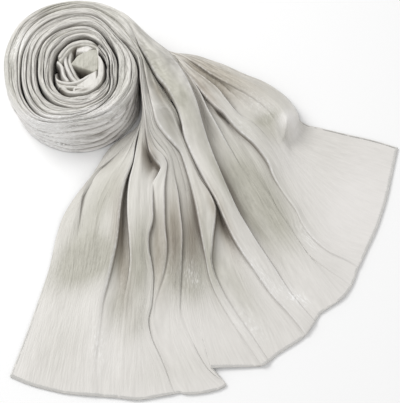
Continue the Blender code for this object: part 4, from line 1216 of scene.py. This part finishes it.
@dataclass
class FanCloth:
    """The free end: a sheet whose fold lines leave the roll together and spread to the hem.

    Rows have places along it: 0 where it leaves the roll, 1 where the fold lines start, 7 at the
    hem. Numbers of the sections are read at the places 0 to 7.
    """

    band: Band
    finish: SatinFinish
    name: str = "fan_cloth"
    shares_between_lines: tuple[float, ...] = (0.14, 0.38, 0.62, 0.86)
    brim: float = 0.7
    settling: float = 0.30
    settling_from: float = 1.8
    settling_low: float = 0.24
    settling_low_from: float = 4.0
    settling_over: float = 1.6
    settled_lines: int = 26
    bow_from: float = 3.4
    bow_over: float = 2.0
    least_span: float = 5.0
    swell: float = 0.12
    lip_height: float = 0.6
    rows_beside_roll: int = 32
    rows: int = 158
    last_place: float = 7.0
    section_layers: tuple[float, ...] = (0.42, 0.46, 0.50, 0.48, 0.44, 0.32, 0.22, 0.18)
    section_pleats: tuple[float, ...] = (0.3, 0.5, 0.6, 0.6, 0.55, 0.4, 0.2, 0.08)
    clearance: float = 0.9
    clearance_step: float = 0.03
    beside_from: float = -85.0
    beside_bearing: float = 14.0
    wall: float = 0.6
    flat: tuple[float, float] = (0.70, 0.47)
    flat_area: float = 0.125

    def places(self) -> np.ndarray:
        """Return the rows' places along the fan: 0 to 1 beside the roll, and 1 to 7 from there to the hem."""
        return np.concatenate([np.linspace(0.0, 1.0, self.rows_beside_roll, endpoint=False),
                               np.linspace(1.0, self.last_place, self.rows)])

    def leaving_rows(self, bearing: np.ndarray, shares: np.ndarray) -> np.ndarray:
        """Return points of the band's section at the bearings, by their share of its length.

        Args:
            bearing: Bearings of the rows, shape (rows,).
            shares: Wanted shares of the section's length, shape (columns,).

        Returns:
            Points, shape (rows, columns, 3).
        """
        section = self.band.section(bearing, True)
        lengths = arc_shares(section)
        radius, height = (read_rows(lengths, section[..., axis], shares) for axis in (0, 1))
        return self.band.at(bearing[:, None], radius, height)

    def lines(self, places: np.ndarray, shares: np.ndarray) -> np.ndarray:
        """Return the fold lines at the rows, settled lower where the cloth lies looser than the table.

        Args:
            places: The rows' places, shape (rows,).
            shares: The lines' shares of the cloth's width, for where they leave the roll.

        Returns:
            x, y and the heights left and right of each line, shape (rows, lines, 4).
        """
        along = np.clip((places - 1.0) / (self.last_place - 1.0), 0.0, 1.0)
        far = np.stack([line.at(along) for line in FOLD_LINES], axis=1)
        settled = (1.0 - self.settling * ease((places - self.settling_from) / self.settling_over)
                   - self.settling_low * ease((places - self.settling_low_from) / self.settling_over))[:, None, None]
        low = np.minimum(far[:, :self.settled_lines, 2:], 4.0)
        far[:, :self.settled_lines, 2:] = low + (far[:, :self.settled_lines, 2:] - low) * settled
        start = self.leaving_rows(np.array([self.band.leaving]), shares)
        start = np.concatenate([start, start[..., 2:]], axis=-1)
        first = np.stack([line.at(np.array([0.0, 0.08, 0.16])) for line in FOLD_LINES], axis=1)
        near = smooth_through([0.0, 1.0, 1.48, 1.96], np.concatenate([start, first]), np.minimum(places, 1.0))
        return np.where((places < 1.0)[:, None, None], near, far)

    def surface(self) -> tuple[np.ndarray, ...]:
        """Return the sheet's points and what its marks are made from.

        Across the sheet a column is counted in millimetres of hem. Within a brim of a fold line
        the height eases from the line's left height to its right one. Between two lines it runs
        half straight and half eased, with a low swell. The plan is straight between lines near
        the roll and bows out on cubics towards the hem. Pleats of seeded unevenness are added.

        Returns:
            The points, the rows' places, the columns' shares of the width, how far each step
            drops below its edge in millimetres, and where an edge has a lip that takes a painted highlight, from 0 to
            1.
        """
        places = self.places()
        ends = np.array([line.points[-1][:2] for line in FOLD_LINES])
        knots = run_lengths(ends, self.least_span)
        lines = self.lines(places, knots / knots[-1])
        inner = [left + self.brim + (right - left - 2 * self.brim) * share
                 for left, right in zip(knots[:-1], knots[1:]) for share in (0.0, *self.shares_between_lines, 1.0)]
        wanted = np.sort(np.concatenate([inner, knots]))
        index = np.clip(np.searchsorted(knots, wanted, side="right") - 1, 0, len(knots) - 2)
        share = (wanted - knots[index]) / (knots[index + 1] - knots[index])
        plan = lines[:, index, :2] * (1 - share[:, None]) + lines[:, index + 1, :2] * share[:, None]
        bowed = smooth_through(knots, lines[..., :2].transpose(1, 0, 2), wanted).transpose(1, 0, 2)
        bow = ease((places - self.bow_from) / self.bow_over)[:, None, None]
        plan = plan * (1 - bow) + bowed * bow

        span = knots[index + 1] - knots[index]
        inside = np.clip((wanted - knots[index] - self.brim) / (span - 2 * self.brim), 0.0, 1.0)
        low, high = lines[:, index, 3], lines[:, index + 1, 2]
        width = np.linalg.norm(lines[:, index + 1, :2] - lines[:, index, :2], axis=-1)
        swell = self.swell * width * np.clip(((low + high) / 2 - 3.0) / 20.0, 0.0, 0.3)
        height = low + (high - low) * (0.5 * inside + 0.5 * ease(inside)) + swell * 4 * inside * (1 - inside)
        nearest = np.clip(np.searchsorted((knots[:-1] + knots[1:]) / 2, wanted), 0, len(knots) - 1)
        off = (wanted - knots[nearest]) / self.brim
        step = lines[:, nearest, 3] - lines[:, nearest, 2]
        within = np.abs(off) < 1.0
        height = np.where(within, lines[:, nearest, 2] + step * ease(off / 2 + 0.5), height)
        upper = np.where(step * off > 0, np.minimum(np.abs(step) * 0.08, self.lip_height), 0.0)
        height = height + upper * (np.abs(np.abs(off) - 1.0) < 1e-6)
        column_share = wanted / wanted[-1]
        height = height + self.pleats(places, column_share)
        points = np.concatenate([plan, np.maximum(height, FAN_LOWEST)[..., None]], axis=-1)
        beside = np.abs(off) < 1.05
        drop = np.where(beside & (step * off <= 0), np.abs(step), 0.0)
        # Where the lip of a step takes a painted highlight.
        lip_highlight = np.where(beside & (np.abs(off) > 0.5) & (step * off > 0), ease(np.abs(step) / 6.0), 0.0)

        near, bearing, hold = self.beside_roll(places)
        points[near] = self.leaving_rows(bearing, column_share) * hold[..., None] + points[near] * (1 - hold[..., None])
        return self.keep_off_roll(points), places, column_share, drop, lip_highlight

    def beside_roll(self, places: np.ndarray) -> tuple[np.ndarray, np.ndarray, np.ndarray]:
        """Return the rows beside the roll, which start as its last section.

        Args:
            places: The rows' places.

        Returns:
            Which rows lie there, their bearings, and how far they keep the section's shape.
        """
        near = places < 1.0
        bearing = self.band.leaving + (self.beside_bearing - self.band.leaving) * places[near]
        return near, bearing, 1.0 - ease(places[near] / 0.95)[:, None]

    def band_hollow(self, bearing: np.ndarray, shares: np.ndarray) -> np.ndarray:
        """Return how far the band's section sinks in shade.

        Args:
            bearing: Bearings of the rows, shape (rows,).
            shares: Wanted shares of the section's length, shape (columns,).

        Returns:
            Shade from 0 to 1, shape (rows, columns).
        """
        section = self.band.section(bearing, True)
        return read_rows(arc_shares(section), self.band.sunk_shade(section), shares)

    def pleats(self, places: np.ndarray, shares: np.ndarray) -> np.ndarray:
        """Return the small lengthwise pleats: waves 5 and 19 mm of cloth wide that come and go along it.

        Args:
            places: The rows' places, shape (rows,).
            shares: The columns' shares of the cloth's width, shape (columns,).

        Returns:
            Heights in millimetres, shape (rows, columns).
        """
        u = shares[None, :] * CLOTH_WIDTH / METRES
        v = places[:, None]
        size = np.interp(places, np.arange(8), self.section_pleats)[:, None]
        small = Unevenness(Seed.SMALL_PLEATS, 5.0, 0.8).at(u, v)
        large = Unevenness(Seed.LARGE_PLEATS, 19.0, 1.3).at(u, v)
        return size * (0.75 * small + large) * ease(places / 0.9)[:, None]

    def keep_off_roll(self, points: np.ndarray) -> np.ndarray:
        """Return the points with those inside the roll's wall moved out, each column a little further.

        Args:
            points: Points in millimetres, shape (rows, columns, 3).

        Returns:
            Points of the same shape.
        """
        away = points[..., :2] - np.array(self.band.middle)
        radius = np.hypot(away[..., 0], away[..., 1])
        bearing = np.degrees(np.arctan2(away[..., 1], away[..., 0]))
        beside = (bearing > self.beside_from) & (bearing < self.band.leaving)
        foot, _ = self.band.foot(np.where(beside, bearing, 0.0) + TURN)
        grown = ease((self.band.leaving - bearing) / 30.0)
        least = foot + grown * (self.clearance + np.arange(points.shape[1])[None, :] * self.clearance_step)
        factor = np.where(beside & (radius < least), least / radius, 1.0)
        moved = points.copy()
        moved[..., :2] = np.array(self.band.middle) + away * factor[..., None]
        return moved

    def build(self) -> tuple[bpy.types.Object, np.ndarray]:
        """Make the fan.

        Returns:
            Its piece, and its points in millimetres for the hems to follow.
        """
        points, places, shares, drop, lip_highlight = self.surface()
        # Painted shade: darker the deeper the cloth lies below its neighbours and on the low side of each step, fading
        # towards the hem.
        soft = 1.0 - 0.45 * ease((places - 4.0) / 1.8)[:, None]
        depth = below_neighbours(points, ACROSS, 1.3)
        hollow = soft * (0.72 * ease((depth - 0.8) / 12.0) + 0.5 * ease(drop / 4.5))
        layers = smooth_through(np.arange(8), np.array(self.section_layers), places)[:, None]
        uneven = Unevenness(Seed.FAN_LAYERS, 0.09, 0.8).at(shares[None, :], places[:, None])
        # Painted light along the lips of the steps.
        layers = layers + 0.20 * uneven * ease(places / 0.8)[:, None] * layers - 0.40 * lip_highlight
        near, bearing, hold = self.beside_roll(places)
        hollow[near] = self.band_hollow(bearing, shares) * hold + hollow[near] * (1 - hold)
        along = np.concatenate([[0.0], np.cumsum(np.linalg.norm(np.diff(points, axis=0), axis=2).mean(axis=1))])
        way = self.band.along(self.band.leaving) - along[:, None] * METRES
        uv = np.stack(np.broadcast_arrays(shares[None, :] * CLOTH_WIDTH, way), axis=-1)
        # The lips take less painted shade and painted glints.
        marks = toned(points, layers, hollow - 0.2 * lip_highlight, 1.0 - ease((places - 1.0) / 4.0)[:, None])
        marks["shimmer"] = np.clip(marks["shimmer"] + 0.4 * lip_highlight, 0.0, 1.0)
        made = grid_piece(self.name, place(points), uv, marks)
        thicken(made, self.wall)
        made.data.materials.append(self.finish.material())
        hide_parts("fan")
        return made, points


@dataclass(frozen=True)
class Flap:
    """A fold of the crumpled inner end: a ribbon along a path, with its top's height at each end.

    The path is in millimetres from the roll's middle.
    """

    path: tuple[tuple[float, float], ...]
    start_top: float
    end_top: float
    half_width: float
    layers: float
    depth: float = 4.5
    steps: int = 48

    def height(self, x: np.ndarray, y: np.ndarray) -> np.ndarray:
        """Return the ribbon's height: round over its half width, then a steep side by depth a millimetre.

        Args:
            x: Places to read, in millimetres from the roll's middle.
            y: The same, of the same shape.

        Returns:
            Heights in millimetres, in that shape.
        """
        knots = np.array(self.path, float)
        fine = bowed_through(np.arange(len(knots), dtype=float), knots, np.linspace(0, len(knots) - 1, self.steps))
        apart = np.hypot(x[..., None] - fine[:, 0], y[..., None] - fine[:, 1])
        top = self.start_top + (self.end_top - self.start_top) * apart.argmin(axis=-1) / (self.steps - 1)
        distance = apart.min(axis=-1)
        share = np.minimum(distance / self.half_width, 1.0)
        rounded = top - 0.35 * self.half_width * (1 - np.sqrt(1 - share ** 2))
        return rounded - np.maximum(distance - self.half_width, 0.0) * self.depth


@dataclass(frozen=True)
class Facet:
    """A flat crumpled piece of the inner end: the corners of a convex outline, anticlockwise."""

    corners: tuple[tuple[float, float, float], ...]
    layers: float
    rounding: float = 1.6
    depth: float = 5.0

    def height(self, x: np.ndarray, y: np.ndarray) -> np.ndarray:
        """Return the height of the plane through the corners, rounded at the outline and steep outside it.

        Args:
            x: Places to read, in millimetres from the roll's middle.
            y: The same, of the same shape.

        Returns:
            Heights in millimetres, in that shape.
        """
        corners = np.array(self.corners)
        plane = np.linalg.lstsq(np.c_[corners[:, :2], np.ones(len(corners))], corners[:, 2], rcond=None)[0]
        run = np.roll(corners, -1, axis=0)[:, :2] - corners[:, :2]
        run = run / np.linalg.norm(run, axis=1)[:, None]
        inside = ((y[..., None] - corners[:, 1]) * run[:, 0] - (x[..., None] - corners[:, 0]) * run[:, 1]).min(axis=-1)
        edge = 0.7 * (1 - np.clip(inside / self.rounding, 0.0, 1.0)) ** 2
        return plane[0] * x + plane[1] * y + plane[2] - edge - np.maximum(-inside, 0.0) * self.depth


@dataclass
class CoreCloth:
    """The crumpled inner end of the cloth, at the middle of the spiral."""

    band: Band
    finish: SatinFinish
    name: str = "core_cloth"
    cells: int = 222
    reaches: tuple[int, ...] = (3, 6, 10, 15)
    floor_height: float = 18.0
    rim_drop: float = 14.0
    clearance: float = 0.6
    wall: float = 0.5
    flaps: tuple[Flap | Facet, ...] = (
        Flap(((-28, 20), (-20, 33), (-6, 39), (10, 39), (24, 31), (31, 15), (31, -4)), 57, 57, 2.2, 0.5),
        Flap(((-27, 15), (-18, 29), (-6, 36), (9, 36), (20, 30)), 55, 55, 1.6, 0.6),
        Flap(((20, 30), (22.5, 18), (23.5, 3), (21.5, -11), (12, -23), (0, -28), (-12, -31), (-22, -27)),
             56, 56, 5.0, 0.42),
        Facet(((-8.5, 27.5, 53), (4, 27, 54.5), (11, 31.5, 55), (5, 35, 54), (-8.5, 33, 53)), 0.2),
        Facet(((-15.5, 12.5, 49), (-0.6, 6.2, 50), (14, 1.0, 51), (18, 5, 53), (18, 29, 55), (5, 30, 55),
               (-7, 23, 52)), 1.0),
        Facet(((-8.5, -12.5, 50), (-5, -20.5, 52), (8, -23.5, 54.5), (17, -17, 55.5), (16, 1.0, 55),
               (4, -4.8, 53)), 0.40),
        Flap(((-22.6, 27), (-20.8, 12), (-14, -3.5), (-8, -11)), 53, 51, 1.7, 0.3),
        Flap(((-15.4, 29.4), (-16.6, 15.7), (-9.6, -1.2), (-4, -9)), 51, 48, 1.5, 0.5),
        Flap(((-33, 15), (-26, 8.4), (-22.8, -3.3), (-17.7, -11)), 54, 53, 1.5, 0.3),
        Flap(((-36, 4), (-31, -10.5), (-17.2, -15.3), (-5.5, -12.9), (6, -6.5)), 55, 54, 1.4, 0.35),
        Flap(((-36, -3), (-30, -15.6), (-19.9, -19), (-5.2, -19.6), (6.6, -19.5)), 54, 53, 1.4, 0.5),
        Flap(((-28, -20), (-24, -20.5), (-19.5, -22), (-19, -26), (-22, -29)), 54, 54, 1.0, 0.4),
        Flap(((-9, -27), (-8.5, -22.5), (-3, -21.5), (6, -22), (12, -19)), 54.5, 55, 1.0, 0.3),
    )

    def heights(self, x: np.ndarray, y: np.ndarray) -> tuple[np.ndarray, np.ndarray]:
        """Return the surface's height, the highest of all flaps over a low floor, and that flap's tone of layers and
        painted shade.

        Args:
            x: Places to read, in millimetres from the roll's middle.
            y: The same, of the same shape.

        Returns:
            Heights in millimetres, and tones of layers and painted shade, in that shape.
        """
        height = np.full(x.shape, self.floor_height)
        # The low floor inside the core gets a darker tone, a painted shade.
        layers = np.full(x.shape, 0.8)
        for flap in self.flaps:
            here = flap.height(x, y)
            layers = np.where(here > height, flap.layers, layers)
            height = np.maximum(height, here)
        return height, layers

    def shade(self, points: np.ndarray) -> np.ndarray:
        """Return how far each point lies in shade, by its depth below the flaps near it.

        Args:
            points: Points in millimetres, shape (rows, columns, 3).

        Returns:
            Shade from 0 to 1, shape (rows, columns).
        """
        ways = [(rows, columns) for rows in (-1, 0, 1) for columns in (-1, 0, 1) if rows or columns]
        around = [(rows * reach, columns * reach) for reach in self.reaches for rows, columns in ways]
        return ease((below_neighbours(points, around, 1.4) - 0.6) / 8.0)

    def build(self) -> bpy.types.Object:
        """Make the inner end: a square grid bent to the round space inside the first turn.

        Returns:
            Its piece.
        """
        line = np.linspace(-1.0, 1.0, self.cells)
        s, t = np.meshgrid(line, line)
        disc_x = s * np.sqrt(1 - t * t / 2)
        disc_y = t * np.sqrt(1 - s * s / 2)
        share = np.hypot(disc_x, disc_y)
        bearing = np.degrees(np.arctan2(disc_y, disc_x)) % TURN
        outer = self.band.side(bearing + 3 * TURN)
        widened = ease((bearing - self.band.leaving + 12.0) / 12.0)
        rim = self.band.side(bearing + 4 * TURN) * (1 - widened) + outer * widened - self.clearance
        x = share * rim * np.cos(np.radians(bearing))
        y = share * rim * np.sin(np.radians(bearing))
        height, layers = self.heights(x, y)
        grain = Unevenness(Seed.CORE_GRAIN, 3.0, 3.0).at(x, y)
        swell = Unevenness(Seed.CORE_SWELL, 9.0, 9.0).at(x, y)
        height = height + (0.25 * grain + 0.5 * swell) - self.rim_drop * ease((share - 0.90) / 0.10)
        points = np.stack([x + self.band.middle[0], y + self.band.middle[1], height], axis=-1)
        # Painted shade: darker the lower the cloth lies and the deeper it lies below the flaps near it.
        hollow = np.maximum(ease((50.0 - height) / 14.0), self.shade(points))
        made = grid_piece(self.name, place(points), np.stack([x, y], axis=-1) * METRES * 2.0,
                          toned(points, layers, hollow, 0.5))
        thicken(made, self.wall)
        made.data.materials.append(self.finish.material())
        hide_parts("roll_core")
        return made


@dataclass(frozen=True)
class HemFinish:
    """The sewn edge: the same cloth rolled tight, greyer, with its grain along the hem."""

    name: str = "hem_thread"
    colour: Colour = (0.60, 0.592, 0.57)
    # The sewn line's colour, also used for the painted shadow at the hem's start.
    line: Colour = (0.27, 0.262, 0.245)
    roughness: float = 0.5

    @cache
    def material(self) -> bpy.types.Material:
        """Make the material: fine grain across the roll of the hem, and a darker line where it is sewn, whose colour
        also paints the shadow at the hem's start.

        Returns:
            The material, the same one at every call.
        """
        graph = Graph(self.name)
        cloth = graph.node("ShaderNodeUVMap", {"uv_map": "cloth"}, {}, 0)
        grain = graph.noise(cloth, (700.0, 1500.0), 2.0)
        body = graph.blend(grain, opaque(tuple(0.86 * part for part in self.colour)),
                           opaque(tuple(1.14 * part for part in self.colour)))
        # Darker on the sewn line, and painted shadow at the hem's start.
        body = graph.blend(graph.mark("stitched_and_shadow"), body, opaque(self.line))
        bumped = graph.node("ShaderNodeBump", {}, {"Strength": 0.4, "Distance": 0.0004, "Height": grain}, 0)
        shader = graph.node("ShaderNodeBsdfPrincipled", {}, {
            "Base Color": body, "Roughness": grain * 0.1 + self.roughness, "Normal": bumped,
            "Sheen Weight": 0.2}, 0)
        graph.finish(shader)
        return graph.material


@dataclass
class Hem:
    """A narrow rolled hem carried along an edge of the sheet, with its row of stitches.

    shaded is how much painted shadow darkens the hem's start; it fades towards the hem's end.
    """

    name: str
    node: str
    width: float
    height: float
    finish: HemFinish
    shaded: float = 0.25
    step: float = 1.3
    least_step: float = 0.05
    around: int = 14
    groove_place: float = 0.78
    groove_depth: float = 0.45
    pucker: float = 0.12
    stitch_every: float = 3.4
    stitch_length: float = 2.2
    stitch_radius: float = 0.28

    def frame(self, edge: np.ndarray, inner: np.ndarray) -> tuple[np.ndarray, np.ndarray]:
        """Return the edge drawn finely and its inward direction at each point.

        Args:
            edge: Points along the cloth's edge, shape (points, 3).
            inner: Points of the next row inwards.

        Returns:
            Fine edge points and unit inward directions, each of shape (fine points, 3).
        """
        lengths = run_lengths(edge, self.least_step)
        wanted = np.linspace(0.0, lengths[-1], int(lengths[-1] / self.step))
        fine = bowed_through(lengths, edge, wanted)
        inward = inner - edge
        inward[:, 2] = 0.0
        inward = bowed_through(lengths, inward / np.linalg.norm(inward, axis=1)[:, None], wanted)
        half = 4
        kernel = np.hanning(2 * half + 1)
        kernel = kernel / kernel.sum()
        padded = np.pad(inward, ((half, half), (0, 0)), mode="edge")
        inward = np.stack([np.convolve(padded[:, axis], kernel, mode="valid") for axis in range(3)], axis=1)
        return fine, inward / np.linalg.norm(inward, axis=1)[:, None]

    def build(self, edge: np.ndarray, inner: np.ndarray, flip: bool) -> list[bpy.types.Object]:
        """Return the hem and its stitches.

        The hem's section is a flattened ring: inwards half a width times one less the cosine,
        up half a height times the sine, with a shallow groove where the stitches lie.

        Args:
            edge: Points along the cloth's edge.
            inner: Points of the next row inwards.
            flip: True where the inward side lies to the right of the way along the edge.

        Returns:
            The hem's object and the stitches' object.
        """
        fine, inward = self.frame(edge, inner)
        turn = np.linspace(0.0, 2 * math.pi, self.around, endpoint=False)[None, :]
        puckers = Unevenness(Seed.HEM_PUCKER, 1.0, 4.0)
        pucker = 1.0 + self.pucker * puckers.at(np.zeros((len(fine), 1)), np.arange(len(fine))[:, None] * self.step)
        reach = self.width / 2 * (1 - np.cos(turn)) * (0.9 + 0.1 * pucker)
        lift = self.height / 2 * np.sin(turn) * pucker
        groove = self.groove_depth * np.exp(-((reach / self.width - self.groove_place) / 0.10) ** 2)
        groove = groove * (np.sin(turn) > 0)
        base = np.maximum(fine[:, 2:3] - 0.2, self.height / 2 * 1.15)
        points = np.repeat(fine[:, None, :], self.around, axis=1) + inward[:, None, :] * reach[..., None]
        points[..., 2] = base + lift - groove
        if flip:
            points = points[:, ::-1]
        lengths = run_lengths(fine)
        uv = np.stack(np.broadcast_arrays(turn * self.width / 6.0, lengths[:, None]), axis=-1) * METRES
        sewn = np.exp(-((reach / self.width - 0.86) / 0.10) ** 2) + 0.6 * np.exp(-(reach / self.width / 0.10) ** 2)
        # Painted shadow, strongest at the hem's start.
        painted_shadow = self.shaded * (1.0 - 0.7 * lengths[:, None] / lengths[-1])
        marks = {"stitched_and_shadow": np.clip(0.8 * sewn * pucker + painted_shadow, 0.0, 1.0)}
        made = grid_piece(self.name, place(points), uv, marks, looped=True)
        made.data.materials.append(self.finish.material())
        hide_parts(self.node)
        return [made, self.stitches(fine, inward, base[:, 0], lengths)]

    def stitches(self, fine: np.ndarray, inward: np.ndarray, base: np.ndarray, lengths: np.ndarray) -> bpy.types.Object:
        """Return the row of stitches: six-sided spindles set along the hem's groove in one mesh.

        A spindle's radius is the stitch's times the square root of 1.02 - t squared, for t from
        -1 to 1 along it.

        Args:
            fine: Points along the cloth's edge, shape (points, 3).
            inward: Unit inward directions there.
            base: Heights of the hem's middle there.
            lengths: Lengths along the edge there.

        Returns:
            The stitches' object.
        """
        rings, sides = 5, 6
        at = np.arange(self.stitch_every, lengths[-1] - self.stitch_every, self.stitch_every)
        middle = np.stack([np.interp(at, lengths, fine[:, axis]) for axis in range(3)], axis=1)
        side = np.stack([np.interp(at, lengths, inward[:, axis]) for axis in range(3)], axis=1)
        middle = middle + side * self.width * self.groove_place
        middle[:, 2] = np.interp(at, lengths, base) + self.height / 2 * 0.72
        run = np.stack([side[:, 1], -side[:, 0], np.zeros(len(side))], axis=1)
        run = run / np.linalg.norm(run, axis=1)[:, None]
        t = np.linspace(-1.0, 1.0, rings)
        turn = np.linspace(0.0, 2 * math.pi, sides, endpoint=False)
        radius = self.stitch_radius * np.sqrt(np.maximum(1.02 - t * t, 0.02))
        ring_side = radius[:, None] * np.cos(turn)[None, :]
        ring_up = radius[:, None] * np.sin(turn)[None, :]
        points = (middle[:, None, None, :] + run[:, None, None, :] * (t * self.stitch_length / 2)[None, :, None, None]
                  + side[:, None, None, :] * ring_side[None, ..., None]
                  + np.array([0.0, 0.0, 1.0]) * ring_up[None, ..., None])
        index = np.arange(len(at) * rings * sides).reshape(len(at), rings, sides)
        after = np.roll(index, -1, axis=2)
        quads = np.stack([index[:, :-1], index[:, 1:], after[:, 1:], after[:, :-1]], axis=-1).reshape(-1, 4)
        ends = np.concatenate([index[:, 0], index[:, -1, ::-1]])
        mesh = bpy.data.meshes.new(f"{self.name}_stitches")
        mesh.from_pydata(place(points.reshape(-1, 3)).tolist(), [], quads.tolist() + ends.tolist())
        mesh.uv_layers.new(name="cloth")
        mesh.shade_smooth()
        made = bpy.data.objects.new(mesh.name, mesh)
        bpy.context.scene.collection.objects.link(made)
        made.data.materials.append(self.finish.material())
        return made


@dataclass
class Studio:
    """Pale floor, soft lights and the camera at the photograph's angle."""

    elevation: float = 68.0
    lens: float = 100.0
    sensor: float = 36.0
    distance: float = 1.3122
    floor_colour: Colour = (0.93, 0.93, 0.93)
    floor_size: float = 6.0
    floor_height: float = -0.0004
    sky: float = 0.66

    def build(self) -> None:
        """Make the floor, the sky, two area lights and the camera."""
        bpy.ops.mesh.primitive_plane_add(size=self.floor_size, location=(0.0, 0.0, self.floor_height))
        floor = bpy.context.object
        floor.name = "floor"
        graph = Graph("pale_floor")
        shader = graph.node("ShaderNodeBsdfPrincipled", {}, {
            "Base Color": opaque(self.floor_colour), "Roughness": 0.9, "Specular IOR Level": 0.1}, 0)
        graph.finish(shader)
        floor.data.materials.append(graph.material)
        world = bpy.data.worlds.new("studio")
        world.use_nodes = True
        background = world.node_tree.nodes["Background"]
        background.inputs["Color"].default_value = opaque((1.0, 1.0, 1.0))
        background.inputs["Strength"].default_value = self.sky
        bpy.context.scene.world = world
        bpy.context.scene.view_settings.view_transform = "Standard"
        self.light("key", (-1.0, 0.7, 1.35), 0.9, 17.0)
        self.light("fill", (0.9, -0.9, 1.3), 1.2, 3.0)
        target = Vector(place(np.zeros(3)))
        angle = math.radians(self.elevation)
        camera = bpy.data.objects.new("camera", bpy.data.cameras.new("camera"))
        camera.data.lens = self.lens
        camera.data.sensor_width = self.sensor
        camera.data.sensor_fit = "HORIZONTAL"
        camera.location = target + self.distance * Vector((0.0, -math.cos(angle), math.sin(angle)))
        camera.rotation_euler = (target - camera.location).to_track_quat("-Z", "Y").to_euler()
        bpy.context.scene.collection.objects.link(camera)
        bpy.context.scene.camera = camera

    def light(self, name: str, where: tuple[float, float, float], size: float, power: float) -> None:
        """Add one square area light that faces the scarf.

        Args:
            name: Name of the light.
            where: Its place in metres.
            size: Length of its side in metres.
            power: Its power in watts.
        """
        lamp = bpy.data.lights.new(name, "AREA")
        lamp.size = size
        lamp.energy = power
        made = bpy.data.objects.new(name, lamp)
        made.location = where
        made.rotation_euler = (-Vector(where)).to_track_quat("-Z", "Y").to_euler()
        bpy.context.scene.collection.objects.link(made)


def main() -> None:
    """Build the scarf piece by piece and report each one."""
    logging.basicConfig(level=logging.INFO, format="%(name)s: %(message)s")
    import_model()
    Studio().build()
    band = Band()
    satin = SatinFinish()
    pieces = [
        RollTurn("outer_turn_cloth", "roll_turn_outer", band, band.leaving,
                 True, satin, (0.17, 0.50)).build(),
        RollTurn("middle_turn_cloth", "roll_turn_middle", band, band.leaving + TURN,
                 False, satin, (0.155, 0.37)).build(),
        RollTurn("inner_turn_cloth", "roll_turn_inner", band, band.leaving + 2 * TURN,
                 False, satin, (0.15, 0.26)).build(),
        CoreCloth(band, SatinFinish(name="silver_satin_shaded")).build(),
    ]
    cloth = FanCloth(band, satin)
    fan, points = cloth.build()
    sewn = HemFinish()
    hems = Hem("end_hem", "hem_end", 4.6, 2.0, sewn).build(points[-1], points[-2], False)
    for side, name, node, start, shaded in ((Side.LEFT, "left_hem", "hem_left", 0.715, 0.25),
                                            (Side.RIGHT, "right_hem", "hem_right", 0.48, 0.95)):
        rows = slice(int(start * len(points)), None)
        nearer = 1 if side is Side.LEFT else -2
        hems += Hem(name, node, 3.0, 1.8, sewn, shaded).build(
            points[rows, side.value], points[rows, nearer], side is Side.RIGHT)
    pieces += [fan, *hems]
    for piece in pieces:
        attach(piece, "root")
        LOG.info("%s: %d faces", piece.name, len(piece.data.polygons))
    bpy.context.view_layer.update()


if __name__ == "__main__":
    main()
